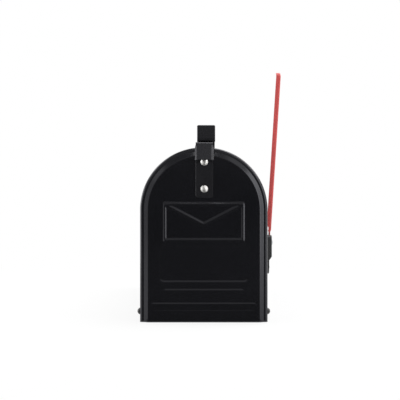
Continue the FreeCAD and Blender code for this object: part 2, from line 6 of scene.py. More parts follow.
import bmesh
import bpy
import numpy as np
from bpy.props import FloatProperty, FloatVectorProperty, PointerProperty
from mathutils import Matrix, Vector

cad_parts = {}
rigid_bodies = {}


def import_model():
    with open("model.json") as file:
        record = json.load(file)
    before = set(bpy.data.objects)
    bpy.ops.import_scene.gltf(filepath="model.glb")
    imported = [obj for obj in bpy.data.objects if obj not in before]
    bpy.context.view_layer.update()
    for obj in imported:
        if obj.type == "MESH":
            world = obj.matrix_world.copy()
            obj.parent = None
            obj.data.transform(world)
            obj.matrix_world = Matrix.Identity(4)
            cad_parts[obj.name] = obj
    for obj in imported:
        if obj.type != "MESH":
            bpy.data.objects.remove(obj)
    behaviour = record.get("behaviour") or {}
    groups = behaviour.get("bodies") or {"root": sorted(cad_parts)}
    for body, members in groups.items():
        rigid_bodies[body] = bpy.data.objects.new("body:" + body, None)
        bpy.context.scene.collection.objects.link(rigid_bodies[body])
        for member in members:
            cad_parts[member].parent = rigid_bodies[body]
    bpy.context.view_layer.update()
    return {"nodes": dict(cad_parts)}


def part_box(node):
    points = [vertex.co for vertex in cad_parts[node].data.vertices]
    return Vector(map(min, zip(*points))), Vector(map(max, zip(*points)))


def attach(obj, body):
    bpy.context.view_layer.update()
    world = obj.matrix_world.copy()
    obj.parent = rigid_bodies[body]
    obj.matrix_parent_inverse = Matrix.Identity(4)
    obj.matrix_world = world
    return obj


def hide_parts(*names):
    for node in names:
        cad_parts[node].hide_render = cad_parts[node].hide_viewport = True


bl_info = {
    "name": "Rural Mailbox",
    "version": (1, 0, 0),
    "blender": (4, 5, 0),
    "location": "View3D > Sidebar > Mailbox",
    "description": "Builds the finished sheets, fasteners and flag of a rural mailbox on its frame",
    "category": "Object",
}

for leftover in list(bpy.data.objects):
    bpy.data.objects.remove(leftover)

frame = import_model()

MM = 0.001
DOOR_LOW, DOOR_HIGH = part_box("door_panel")
WRAP_LOW, WRAP_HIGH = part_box("body_shell")
REAR_LOW, REAR_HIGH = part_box("rear_panel")
STRAP_LOW, STRAP_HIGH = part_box("door_pull_strap")
CATCH_LOW, CATCH_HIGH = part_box("roof_catch")
FLAG_LOW, FLAG_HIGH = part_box("flag_blade")
HINGE_LOW, HINGE_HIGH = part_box("hinge_rivets")
GROUND = WRAP_LOW.z
PANEL_Y = STRAP_HIGH.y
HINGE_Y = (HINGE_LOW.y + HINGE_HIGH.y) / 2
HINGE_Z = (HINGE_LOW.z + HINGE_HIGH.z) / 2
EDGE_ROUND = 0.3  # how far a sheet's rounded edge stands out, as a share of its thickness
TOOL_ROOM = 5 * MM  # how far cutting tools reach past the sheet
MERGE_GAP = 0.01 * MM


def length(title, description, value):
    """Length property, given in millimetres."""
    return FloatProperty(
        name=title, description=description, default=value * MM, unit="LENGTH", subtype="DISTANCE",
        precision=5,
    )


def colour(title, description, default):
    """Colour property."""
    return FloatVectorProperty(
        name=title, description=description, default=default, size=3, subtype="COLOR", min=0, max=1
    )


def amount(title, description, default):
    """Plain number property."""
    return FloatProperty(name=title, description=description, default=default)


def slant(title, description, degrees):
    """Angle property."""
    return FloatProperty(name=title, description=description, default=math.radians(degrees), subtype="ANGLE")


def measures(title, description, *values):
    """Row of lengths, given in millimetres."""
    return FloatVectorProperty(
        name=title, description=description, default=[value * MM for value in values], size=len(values),
        unit="LENGTH", precision=5,
    )


class MailboxSizes(bpy.types.PropertyGroup):
    """Sizes of the pressed and folded sheets."""

    sheet: length("Sheet", "Thickness of the steel sheet", 0.6)
    crown_flat: length("Crown flat", "Flat stretch at the top of the arch", 4)
    mesh_step: length("Mesh step", "Spacing of points on the embossed door", 0.85)
    arch_step: length("Arch step", "Spacing of points round the arch", 2.0)
    side_step: length("Side step", "Spacing of points down the sides of wrap and rear panel", 2.4)
    rim_radius: length("Rim radius", "Round of the door's outer edge", 3.7)
    ledge_width: length("Ledge width", "Flat ledge inside the door's rim", 1.5)
    bevel_width: length("Bevel width", "Width of the slope up to the door's panel", 5.2)
    bevel_rise: length("Bevel rise", "How far the panel stands ahead of the ledge", 3.2)
    press_radius: length("Press radius", "Inner radius of the door's shallow bends", 1.2)
    bead_reach: length("Bead reach", "Half width of a pressed bead at its foot", 2.8)
    envelope_width: length("Envelope width", "Width of the embossed envelope outline", 100)
    envelope_low: length("Envelope foot", "Height of its lower line over the skirts' edge", 106)
    envelope_high: length("Envelope head", "Height of its upper line over the skirts' edge", 152)
    envelope_drop: length("Flap drop", "Drop of the flap's point below the upper line", 26)
    envelope_relief: length("Envelope relief", "Height of the envelope's beads", 1.2)
    label_width: length("Label width", "Width of the sunk label field", 113)
    label_low: length("Label foot", "Height of its lower edge over the skirts' edge", 53.5)
    label_high: length("Label head", "Height of its upper edge over the skirts' edge", 98)
    label_corner: length("Label corner", "Round of the label field's corners", 4)
    label_slope: length("Label slope", "Half width of the label field's sloped edge", 1.6)
    label_depth: length("Label depth", "How deep the label field is sunk", 0.7)
    rib_relief: length("Rib relief", "Height of the two plain ribs", 0.7)
    upper_rib: length("Upper rib", "Height of the upper rib over the skirts' edge", 41.5)
    upper_rib_length: length("Upper rib length", "Length of the upper rib", 98)
    lower_rib: length("Lower rib", "Height of the lower rib over the skirts' edge", 24)
    lower_rib_length: length("Lower rib length", "Length of the lower rib", 130)
    crease: length("Crease", "Height of the low crease over the skirts' edge", 14.8)
    crease_relief: length("Crease relief", "Height of the low crease", 0.4)
    hem: length("Hem", "Depth of the hem folded up inside each skirt", 6)
    hem_room: length("Hem room", "Room inside the hem's fold", 0.1)
    hinge_swing: length("Hinge swing", "Room behind the hinge for the door's foot", 18)
    skirt_hole_radius: length("Skirt hole", "Radius of a mounting hole in a skirt", 2.75)
    skirt_hole_height: length("Skirt hole height", "Height of the holes over the skirts' edge", 9.5)
    skirt_hole_spacing: length("Skirt hole spacing", "Distance between the holes of a skirt", 300)
    rear_field: length("Rear field", "Inset of the raised field on the rear panel", 14)
    rear_slope: length("Rear slope", "Width of the slope round the rear field", 4)
    rear_rise: length("Rear rise", "How far the rear field stands out", 2.4)
    rear_depth: length("Rear depth", "Depth of the rear panel's recess", 9)
    rear_step: length("Rear step", "Spacing of points across the rear panel", 6)
    rear_bend: length("Rear bend", "Inner radius of the bend into the rear recess", 1.5)
    seam_depth: length("Seam depth", "Length of the seam rolled over the wrap", 7)
    seam_gap: length("Seam gap", "Room between the rear panel and the wrap", 0.1)
    strip: length("Strip", "Thickness of the strap and of the catch", 1.2)
    strip_step: length("Strip step", "Spacing of points along the strap", 0.7)
    strap_width: length("Strap width", "Width of the strap on the door", 22)
    strap_corner: length("Strap corner", "Round of the strap's lower corners", 3)
    strap_edge: length("Strap edge", "Break of the strap's edges", 0.45)
    pull_corner: length("Pull corner", "Round of the finger pull's corners", 0.8)
    pull_reach: length("Pull reach", "How far the strap's fold stands ahead of the panel", 8)
    pull_drop: length("Pull drop", "Drop of the finger pull below its fold", 22.8)
    pull_tilt: slant("Pull tilt", "Slope of the finger pull", 20)
    pull_flat: length("Pull flat", "Width of the finger pull between its lips", 18)
    pull_lip: length("Pull lip", "Width of the lips along the finger pull", 3.8)
    pull_lip_angle: slant("Lip angle", "How far the lips turn back", 40)
    lip_start: length("Lip start", "From the fold to where the lips begin", 3)
    lip_growth: length("Lip growth", "Length over which the lips open out", 3)
    fold_radius: length("Fold radius", "Inner radius of the strap's folds", 1.2)
    catch_step: length("Catch step", "Spacing of points along the catch", 0.8)
    catch_gap: length("Catch gap", "Room between the strap's fold and the catch", 0.6)
    catch_level: length("Catch level", "From the door's flange to where the catch slopes down", 9)
    catch_slope: length("Catch slope", "Length of the catch's slope down to the roof", 9)
    catch_bend: length("Catch bend", "Inner radius of the catch's two shallow bends", 1.5)
    catch_corner: length("Catch corner", "Round of the catch's corners", 1.5)
    catch_edge: length("Catch edge", "Break of the catch's edges", 0.4)
    tab_bend: length("Tab bend", "Inner radius of the bend up into the thumb tab", 2.8)
    flag_sheet: length("Flag sheet", "Thickness of the flag", 1.2)
    flag_step: length("Flag step", "Spacing of points along the flag's outline", 0.8)
    flag_play: length("Flag play", "Play between the flag and its friction washer", 0.3)
    flag_blade_width: length("Blade width", "Width of the flag's blade", 48)
    flag_tip_radius: length("Tip radius", "Round of the blade's corners", 6)
    flag_edge_width: length("Edge width", "Width of the blade's turned front edge", 6.1)
    flag_edge_low: length("Edge foot", "Height of the turned edge's foot over the skirts' edge", 119)
    flag_edge_bend: length("Edge bend", "Inner radius of the turned edge's bend", 0.8)
    flag_edge_break: length("Edge break", "Round of the flag's sheared edges", 0.3)
    flag_shank_curl: length("Shank curl", "How far the shank's front edge turns in", 2.6)
    flag_ease: length("Flag ease", "Height of the curve from the upright shank into the lean", 4)
    flag_tuck: length("Flag tuck", "How far the flag's top edge curves in", 1.2)
    flag_edge_taper: length("Edge taper", "Length of the slanted foot of the turned edge", 4.5)
    flag_edge_narrow: amount("Edge narrowing", "Share of its width that the turned edge loses on top", 0.15)
    flag_shank: length("Flag shank", "Half width of the flag's shank", 9)
    flag_blade_low: length("Blade foot", "Height of its lower corner over the skirts' edge", 136)
    flag_taper: length("Blade taper", "Height of the slope from shank to blade", 10)
    flag_bend: length("Flag bend", "Height over the skirts' edge that the lean starts from", 98)
    flag_lean: slant("Flag lean", "Outward lean of the blade", 3.62)
    flag_rib_relief: length("Flag rib relief", "Height of the flag's pressed rib", 1.1)
    flag_rib_reach: length("Flag rib reach", "Half width of the flag's rib at its foot", 3.6)
    flag_rib_margin: length("Flag rib margin", "Room between the rib's ends and the blade's", 24)


RIVET = "Head radius and height, shank radius, tail radius and height"
SCREW = "Head radius and height, shank radius"
WASHER = "Bore radius, outer radius, thickness"
NUT = "Width across flats, bore radius, height"


class MailboxFasteners(bpy.types.PropertyGroup):
    """Sizes of rivets, screws, washers and nuts."""

    hinge_rivet: measures("Hinge rivet", RIVET, 4.3, 3.5, 2.5, 3.7, 1.3)
    catch_rivet: measures("Catch rivet", RIVET, 4.0, 1.8, 2.0, 3.2, 1.2)
    bracket_rivet: measures("Bracket rivet", RIVET, 3.2, 1.2, 1.6, 2.8, 1.2)
    strap_screw: measures("Strap screw", SCREW, 4.75, 3.0, 2.5)
    pivot_screw: measures("Pivot screw", SCREW, 4.2, 2.0, 2.5)
    hinge_washer: measures("Hinge washer", WASHER, 2.55, 4.4, 0.5)
    strap_washer: measures("Strap washer", WASHER, 2.6, 5.0, 1.0)
    pivot_washer: measures("Pivot washer", WASHER, 2.55, 5.0, 1.0)
    friction_washer: measures("Friction washer", WASHER, 2.55, 7.0, 0.5)
    nut: measures("Nut", NUT, 8.0, 2.55, 4.0)
    hinge_slack: length("Hinge slack", "Room between the skirt and a hinge rivet's tail", 0.05)
    catch_slack: length("Catch slack", "Room between the roof and a catch rivet's tail", 0.2)


class MailboxFinish(bpy.types.PropertyGroup):
    """Colours of the finishes."""

    enamel_black: colour("Black enamel", "Enamel of the sheets", (0.0042, 0.0044, 0.0059))
    strip_black: colour("Strip black", "Enamel of the strap and of the catch", (0.0088, 0.0088, 0.0104))
    enamel_red: colour("Red enamel", "Enamel of the flag", (0.55, 0.055, 0.051))
    rivet_black: colour("Rivet black", "Paint on the rivets", (0.009, 0.009, 0.0095))
    nickel: colour("Nickel", "Plating of the strap screws", (0.90, 0.89, 0.86))
    zinc: colour("Zinc", "Plating of nuts, washers and the pivot screw", (0.50, 0.51, 0.53))
    plastic_black: colour("Black plastic", "Moulded bracket", (0.036, 0.036, 0.037))
    nylon: colour("Nylon", "Hinge and friction washers", (0.72, 0.70, 0.63))


class MailboxStage(bpy.types.PropertyGroup):
    """Camera and light."""

    card_distance: length("Card distance", "From the door's panel to the cards in front", 1600)
    camera_distance: length("Camera distance", "From the door's panel to the camera", 1200)
    camera_height: length("Camera height", "Height of the camera", 138.4)
    camera_side: length("Camera side", "Sideways place of the camera", -4.9)
    lens: amount("Lens", "Focal length in millimetres", 84.5)
    key_level: amount("Key level", "Brightness of the softbox on the right", 2.0)
    crown_level: amount("Crown level", "Brightness of the softbox above on the right", 3.9)
    left_level: amount("Left level", "Brightness of the softbox above on the left", 2.5)
    strip_level: amount("Strip level", "Brightness of the strip beside the box on the left", 3.0)
    aim_height: length("Aim height", "Height that the lamps are turned to", 130)
    rim_distance: length("Rim distance", "From the door's panel back to the lamps behind it", 320)
    ambient: amount("Ambient", "Level of the studio's own light", 0.65)


def pick(sockets, key):
    """Socket by place or by name, among those in use."""
    live = [socket for socket in sockets if socket.enabled]
    if isinstance(key, int):
        return live[key]
    return next(socket for socket in live if socket.name == key)


class Wire:
    """One socket of a node tree. Sums and products of wires add Math nodes to that tree."""

    def __init__(self, tree, socket=None):
        self.tree = tree
        self.socket = socket

    def node(self, kind, settings=None, values=None, output=0):
        """Adds a node, sets it up, feeds its sockets and returns the wire of one output."""
        made = self.tree.nodes.new(kind)
        for name, value in (settings or {}).items():
            setattr(made, name, value)
        for key, value in (values or {}).items():
            self.feed(pick(made.inputs, key), value)
        return Wire(self.tree, pick(made.outputs, output)) if made.outputs else made

    def feed(self, socket, value):
        """Links a wire to a socket, or sets a plain value on it."""
        if isinstance(value, Wire):
            self.tree.links.new(value.socket, socket)
        else:
            socket.default_value = value

    def math(self, operation, *terms):
        return self.node("ShaderNodeMath", {"operation": operation}, dict(enumerate(terms)))

    def __add__(self, other):
        return self.math("ADD", self, other)

    def __sub__(self, other):
        return self.math("SUBTRACT", self, other)

    def __mul__(self, other):
        return self.math("MULTIPLY", self, other)

    def __truediv__(self, other):
        return self.math("DIVIDE", self, other)

    def __rsub__(self, other):
        return self.math("SUBTRACT", other, self)

    def __neg__(self):
        return self.math("SUBTRACT", 0, self)

    __radd__ = __add__
    __rmul__ = __mul__

    def least(self, other):
        return self.math("MINIMUM", self, other)

    def most(self, other):
        return self.math("MAXIMUM", self, other)

    def within(self, low, high):
        return self.most(low).least(high)

    def smooth(self):
        """Soft step of a value between 0 and 1."""
        held = self.within(0, 1)
        return held * held * (3 - 2 * held)

    def blend(self, first, second):
        """Colour between two colours, by this value."""
        return self.node(
            "ShaderNodeMix", {"data_type": "RGBA"}, {"Factor": self, "A": first, "B": second}, "Result"
        )


def new_tree(title, inputs):
    """Empty geometry tree with named inputs; gives its starting wire and the inputs' wires."""
    tree = bpy.data.node_groups.new(title, "GeometryNodeTree")
    for name, kind in inputs.items():
        tree.interface.new_socket(name, in_out="INPUT", socket_type="NodeSocket" + kind)
    tree.interface.new_socket("Geometry", in_out="OUTPUT", socket_type="NodeSocketGeometry")
    source = tree.nodes.new("NodeGroupInput")
    return Wire(tree), {name: Wire(tree, source.outputs[name]) for name in inputs}


def end_tree(start, geometry, material):
    """Closes a tree: instances become mesh, and the mesh takes its material."""
    solid = start.node("GeometryNodeRealizeInstances", {}, {"Geometry": geometry})
    dressed = start.node("GeometryNodeSetMaterial", {}, {"Geometry": solid, "Material": material})
    start.node("NodeGroupOutput", {}, {"Geometry": dressed})
    return start.tree


def run_tree(obj, tree, values):
    """Puts a geometry tree on an object, with its inputs set."""
    modifier = obj.modifiers.new(tree.name, "NODES")
    modifier.node_group = tree
    for item in tree.interface.items_tree:
        if item.in_out == "INPUT" and item.name in values:
            modifier[item.identifier] = values[item.name]


def settle(obj):
    """Turns an object with modifiers into a plain mesh."""
    bpy.context.view_layer.update()
    depsgraph = bpy.context.evaluated_depsgraph_get()
    mesh = bpy.data.meshes.new_from_object(obj.evaluated_get(depsgraph))
    obj.modifiers.clear()
    spent = obj.data
    obj.data = mesh
    bpy.data.meshes.remove(spent)
    return obj


def mesh_object(name, points, faces=(), edges=()):
    """New object of one mesh at the origin."""
    mesh = bpy.data.meshes.new(name)
    mesh.from_pydata([tuple(map(float, point)) for point in points], list(edges), list(faces))
    obj = bpy.data.objects.new(name, mesh)
    bpy.context.scene.collection.objects.link(obj)
    return obj


def discard(*objects):
    """Removes helpers that are no longer needed."""
    for obj in objects:
        mesh = obj.data
        bpy.data.objects.remove(obj)
        bpy.data.meshes.remove(mesh)


def close_shell(obj, sharp=35):
    """Merges doubles, caps open ends, points faces outwards and smooths all but sharp edges."""
    shell = bmesh.new()
    shell.from_mesh(obj.data)
    bmesh.ops.remove_doubles(shell, verts=shell.verts, dist=MERGE_GAP)
    bmesh.ops.dissolve_degenerate(shell, edges=shell.edges, dist=MERGE_GAP / 2)
    rims = [edge for edge in shell.edges if edge.is_boundary]
    if rims:
        bmesh.ops.triangle_fill(shell, edges=rims, use_beauty=True)
    bmesh.ops.recalc_face_normals(shell, faces=shell.faces)
    if shell.calc_volume(signed=True) < 0:
        bmesh.ops.reverse_faces(shell, faces=shell.faces)
    shell.to_mesh(obj.data)
    shell.free()
    obj.data.shade_smooth()
    obj.data.set_sharp_from_angle(angle=math.radians(sharp))
    return obj


def ease_edges(obj, width):
    """Breaks the sharp edges of a piece."""
    bevel = obj.modifiers.new("Edges", "BEVEL")
    bevel.width = width
    bevel.segments = 1
    bevel.limit_method = "ANGLE"
    bevel.angle_limit = math.radians(50)
    bevel.harden_normals = False
    settle(obj)
    obj.data.shade_smooth()
    obj.data.set_sharp_from_angle(angle=math.radians(40))


def cut_away(obj, *cutters):
    """Cuts closed tools out of a closed piece."""
    for cutter in cutters:
        modifier = obj.modifiers.new("Cut", "BOOLEAN")
        modifier.operation = "DIFFERENCE"
        modifier.solver = "EXACT"
        modifier.object = cutter
        settle(obj)
    discard(*cutters)


def ease(value):
    """Soft step of a number between 0 and 1."""
    held = min(max(value, 0.0), 1.0)
    return held * held * (3 - 2 * held)


def ring_faces(count, turns):
    """Faces between rings of points that follow one another."""
    faces = []
    for i in range(count - 1):
        for k in range(turns):
            a, b = i * turns + k, i * turns + (k + 1) % turns
            faces.append((a, b, b + turns, a + turns))
    return faces


def rectangle(y_low, y_high, z_low, z_high):
    """Outline of an upright (y, z) rectangle."""
    return [(y_low, z_low), (y_low, z_high), (y_high, z_high), (y_high, z_low)]


def circle(y, z, radius, steps=36):
    """Outline of a (y, z) circle."""
    turns = [2 * math.pi * step / steps for step in range(steps)]
    return [(y + radius * math.cos(turn), z + radius * math.sin(turn)) for turn in turns]


def tool(name, first, last):
    """Closed tool between two outlines with the same number of points."""
    count = len(first)
    caps = [tuple(range(count)), tuple(range(2 * count - 1, count - 1, -1))]
    return close_shell(mesh_object(name, [*first, *last], caps + ring_faces(2, count)))


def prism(name, outline, low, high):
    """Closed tool across the box: a (y, z) outline run from low to high along x."""
    return tool(name, *([(x, y, z) for y, z in outline] for x in (low, high)))


def dress(obj, body, slot, material, *nodes):
    """Hands a finished piece to the frame: its finish, its body and the solids it stands for."""
    obj.data.materials.clear()
    obj.data.materials.append(material)
    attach(obj, body)
    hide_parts(*nodes)


def new_material(title):
    """Empty material; gives the material, its starting wire and its surface shader."""
    material = bpy.data.materials.new(title)
    material.use_nodes = True
    return material, Wire(material.node_tree), material.node_tree.nodes["Principled BSDF"]


def noise(place, size, detail=2.0):
    """Cloudy value between 0 and 1 with features of about the given size in metres."""
    return place.node("ShaderNodeTexNoise", {}, {"Vector": place, "Scale": 1 / size, "Detail": detail})


def surface(start, shader, values, height=None):
    """Feeds a surface shader, with a bump from a height in metres."""
    for name, value in values.items():
        start.feed(shader.inputs[name], value)
    if height is not None:
        bump = start.node("ShaderNodeBump", {}, {"Height": height, "Distance": 1.0, "Strength": 1.0})
        start.feed(shader.inputs["Normal"], bump)


def shade(value, factor):
    """Lighter or darker copy of a colour."""
    return (*(part * factor for part in value), 1.0)


def enamel(title, paint, roughness, wave_height, reflection_tint=(1, 1, 1, 1)):
    """Baked enamel on sheet: orange peel, slow waves of the sheet and faint clouding of the gloss; its
    reflections take a tint, a painted stand-in for the colour of the light.
    """
    material, start, shader = new_material(title)
    place = start.node("ShaderNodeTexCoord", {}, {}, "Object")
    peel = noise(place, 1.9 * MM, 1.0)
    fleck = noise(place, 0.5 * MM, 2.0)
    cloud = noise(place, 42 * MM, 3.0)
    wave = noise(place, 95 * MM, 0.0)
    tone = (cloud * 0.7 + peel * 0.3).smooth()
    values = {
        "Base Color": tone.blend(shade(paint, 0.82), shade(paint, 1.18)),
        "Roughness": roughness + 0.06 * (cloud - 0.5) + 0.04 * (fleck - 0.5),
        # Specular tint: a painted tint of the reflections that stands in for a cool cast of the studio
        # light.
        "Specular Tint": reflection_tint,
    }
    surface(start, shader, values, peel * 0.003 * MM + fleck * 0.0003 * MM + wave * wave_height)
    return material


def plating(title, metal, roughness, grain_size, spread):
    """Bright plating: small crystals that differ in tone and gloss."""
    material, start, shader = new_material(title)
    place = start.node("ShaderNodeTexCoord", {}, {}, "Object")
    crystal = start.node(
        "ShaderNodeTexVoronoi", {"feature": "F1"}, {"Vector": place, "Scale": 1 / grain_size}, "Color"
    )
    tone = start.node("ShaderNodeSeparateColor", {}, {"Color": crystal}, 0)
    haze = noise(place, 3 * MM, 3.0)
    values = {
        "Base Color": tone.blend(shade(metal, 1 - spread), shade(metal, 1 + spread)),
        "Roughness": roughness + spread * 0.6 * (tone - 0.5) + 0.12 * (haze - 0.5),
        "Metallic": 1.0,
    }
    surface(start, shader, values, haze * 0.004 * MM)
    return material


def moulded(title, tint, roughness, grain):
    """Moulded plastic with a fine spark-eroded grain."""
    material, start, shader = new_material(title)
    place = start.node("ShaderNodeTexCoord", {}, {}, "Object")
    fine = noise(place, 0.45 * MM, 3.0)
    flow = noise(place, 14 * MM, 2.0)
    values = {
        "Base Color": flow.blend(shade(tint, 0.85), shade(tint, 1.15)),
        "Roughness": roughness + 0.14 * (fine - 0.5),
    }
    surface(start, shader, values, fine * grain)
    return material


def finishes(props):
    """All finishes of the mailbox by name, made once."""
    # Painted light: a bluish tint of the enamel's reflections that stands in for the cool studio light.
    painted_cool_light = (0.93, 0.93, 1.0, 1.0)
    makers = {
        "black_enamel": lambda name: enamel(name, props.enamel_black, 0.19, 0.03 * MM, painted_cool_light),
        "strip_enamel": lambda name: enamel(name, props.strip_black, 0.26, 0.0, painted_cool_light),
        "red_enamel": lambda name: enamel(name, props.enamel_red, 0.52, 0.04 * MM),
        "dark_rivet": lambda name: enamel(name, props.rivet_black, 0.38, 0.0),
        "nickel": lambda name: plating(name, props.nickel, 0.46, 0.6 * MM, 0.05),
        "zinc": lambda name: plating(name, props.zinc, 0.36, 1.1 * MM, 0.14),
        "black_plastic": lambda name: moulded(name, props.plastic_black, 0.42, 0.03 * MM),
        "nylon": lambda name: moulded(name, props.nylon, 0.40, 0.006 * MM),
    }
    made = {}
    for name, make in makers.items():
        title = "finish_" + name
        made[name] = bpy.data.materials.get(title) or make(title)
    return made


def rounded_run(points, radii, step):
    """Dense line through (a, b) points with each inner corner rounded."""
    corners = [np.array(point, float) for point in points]
    run = [corners[0]]

    def straight(target):
        gap = np.linalg.norm(target - run[-1])
        pieces = max(1, round(gap / step))
        first = run[-1]
        run.extend(first + (target - first) * (i + 1) / pieces for i in range(pieces))

    for before, corner, after, radius in zip(corners, corners[1:], corners[2:], radii):
        into = (corner - before) / np.linalg.norm(corner - before)
        out = (after - corner) / np.linalg.norm(after - corner)
        turn = math.acos(max(-1.0, min(1.0, float(into @ out))))
        trim = radius * math.tan(turn / 2)
        straight(corner - into * trim)
        inward = (out - into) / np.linalg.norm(out - into)
        centre = corner + inward * radius / math.cos(turn / 2)
        first = run[-1] - centre
        spin = math.copysign(turn, into[0] * out[1] - into[1] * out[0])
        bends = max(3, round(math.degrees(turn) / 12))
        for i in range(bends):
            angle = spin * (i + 1) / bends
            cos, sin = math.cos(angle), math.sin(angle)
            run.append(centre + np.array([first[0] * cos - first[1] * sin, first[0] * sin + first[1] * cos]))
    straight(corners[-1])
    return np.array(run)


def left_sides(run):
    """Mitred unit offsets to the left of a dense line."""
    ways = np.diff(run, axis=0)
    ways /= np.linalg.norm(ways, axis=1)[:, None]
    ways = np.vstack([ways[:1], ways, ways[-1:]])
    sides = np.column_stack([-ways[:, 1], ways[:, 0]])
    before, after = sides[:-1], sides[1:]
    return (before + after) / (1 + np.sum(before * after, axis=1))[:, None]


def sheet_radii(points, bends, thickness, side):
    """Radii on the traced face of a sheet that lies to the left (1) or right (-1) of its points."""
    radii = []
    for (ax, ay), (bx, by), (cx, cy), bend in zip(points, points[1:], points[2:], bends):
        left = (bx - ax) * (cy - by) - (by - ay) * (cx - bx)
        radii.append(bend + thickness if left * side > 0 else bend)
    return radii


def sheet_section(run, thickness, side, round_start, thin=1):
    """Closed section of a sheet: its traced face, a rounded edge and its far face, thinned out."""
    far = run + left_sides(run) * thickness * side
    far = np.vstack([far[:-1:thin], far[-1:]])
    way = run[-1] - run[-2]
    edge = (run[-1] + far[-1]) / 2 + way / np.linalg.norm(way) * thickness * EDGE_ROUND
    points = [*run, edge, *far[::-1]]
    if round_start:
        way = run[0] - run[1]
        points.append((run[0] + far[0]) / 2 + way / np.linalg.norm(way) * thickness * EDGE_ROUND)
        points.append(run[0])
    return np.array(points)


def arch_tree():
    """Sheet of one section that runs round an arch and may fold up inside at its feet."""
    start, wires = new_tree("Arch sheet", {
        "Section": "Object", "Stations": "Object", "Arch radius": "Float", "Half crown": "Float",
        "Spring height": "Float", "Leg": "Float", "Fold inset": "Float", "Fold length": "Float",
        "Material": "Material",
    })
    radius, crown, leg = wires["Arch radius"], wires["Half crown"], wires["Leg"]
    section = start.node("GeometryNodeObjectInfo", {}, {"Object": wires["Section"]}, "Geometry")
    stations = start.node("GeometryNodeObjectInfo", {}, {"Object": wires["Stations"]}, "Geometry")
    across = start.node("GeometryNodeAttributeDomainSize", {}, {"Geometry": section}, "Point Count")
    around = start.node("GeometryNodeAttributeDomainSize", {}, {"Geometry": stations}, "Point Count")
    grid = start.node("GeometryNodeMeshGrid", {}, {"Vertices X": around, "Vertices Y": across}, "Mesh")
    index = start.node("GeometryNodeInputIndex")
    row = start.math("FLOOR", (index + 0.5) / across)
    place = start.node("GeometryNodeInputPosition")

    def sampled(source, at):
        settings = {"data_type": "FLOAT_VECTOR", "domain": "POINT"}
        values = {"Geometry": source, "Value": place, "Index": at}
        point = start.node("GeometryNodeSampleIndex", settings, values)
        return [start.node("ShaderNodeSeparateXYZ", {}, {"Vector": point}, part) for part in (0, 1)]

    inset, depth = sampled(section, index - row * across)
    run, _ = sampled(stations, row)
    path = start.math("ABSOLUTE", run)
    side = start.math("SIGN", run)
    quarter = radius * (math.pi / 2)
    angle = ((path - crown) / radius).within(0, math.pi / 2)
    arm = (radius - inset).most(0)
    pinch = ((radius + crown - inset) / crown).within(0, 1)
    foot = crown + quarter + leg
    drop = (path.least(foot) - crown - quarter).most(0)
    past = (path - foot).most(0)
    fold = (past / wires["Fold length"] * math.pi).within(0, math.pi)
    climb = (past - wires["Fold length"]).most(0)
    lever = wires["Fold inset"] - inset
    x = path.least(crown) * pinch + arm * start.math("SINE", angle)
    x = side * (x - lever * (1 - start.math("COSINE", fold)))
    z = wires["Spring height"] + arm * start.math("COSINE", angle) - drop
    z = z - lever * start.math("SINE", fold) + climb
    point = start.node("ShaderNodeCombineXYZ", {}, {"X": x, "Y": depth, "Z": z})
    shaped = start.node("GeometryNodeSetPosition", {}, {"Geometry": grid, "Position": point})
    merged = start.node("GeometryNodeMergeByDistance", {}, {"Geometry": shaped, "Distance": MERGE_GAP})
    return end_tree(start, merged, wires["Material"])


def press_tree(title, element):
    """Pushes a sheet out along a direction near a guide, as a press tool does."""
    start, wires = new_tree(title, {
        "Geometry": "Geometry", "Guide": "Object", "Reach": "Float", "Relief": "Float",
        "Direction": "Vector", "Material": "Material",
    })
    guide = start.node("GeometryNodeObjectInfo", {}, {"Object": wires["Guide"]}, "Geometry")
    gap = start.node("GeometryNodeProximity", {"target_element": element}, {"Geometry": guide}, "Distance")
    height = (1 - gap / wires["Reach"]).smooth() * wires["Relief"]
    push = start.node(
        "ShaderNodeVectorMath", {"operation": "SCALE"}, {0: wires["Direction"], "Scale": height}, "Vector"
    )
    pressed = start.node("GeometryNodeSetPosition", {}, {"Geometry": wires["Geometry"], "Offset": push})
    return end_tree(start, pressed, wires["Material"])


def seat_tree():
    """Sets one fastener on each seat, turned along the seat's axis."""
    start, wires = new_tree("Fastener seats", {
        "Geometry": "Geometry", "Fastener": "Object", "Material": "Material",
    })
    part = start.node("GeometryNodeObjectInfo", {}, {"Object": wires["Fastener"]}, "Geometry")
    axis = start.node("GeometryNodeInputNamedAttribute", {"data_type": "FLOAT_VECTOR"}, {"Name": "axis"})
    turn = start.node("FunctionNodeAlignRotationToVector", {"axis": "Z"}, {"Vector": axis})
    set_out = start.node(
        "GeometryNodeInstanceOnPoints", {}, {"Points": wires["Geometry"], "Instance": part, "Rotation": turn}
    )
    return end_tree(start, set_out, wires["Material"])


def tree(title, make):
    """Geometry tree by title, made once."""
    return bpy.data.node_groups.get(title) or make()


def arch_stations(radius, crown, leg, arch_step, step, tail=()):
    """Distances from the crown at which a section is set, to the left and to the right."""
    quarter = radius * math.pi / 2
    arc = np.linspace(0, quarter, round(quarter / arch_step) + 1)[1:]
    down = np.linspace(0, leg, round(leg / step) + 1)[1:]
    spring = crown + quarter
    half = np.concatenate([[0, crown], crown + arc, spring + down, spring + leg + np.array(tail)])
    return np.concatenate([-half[:0:-1], half])


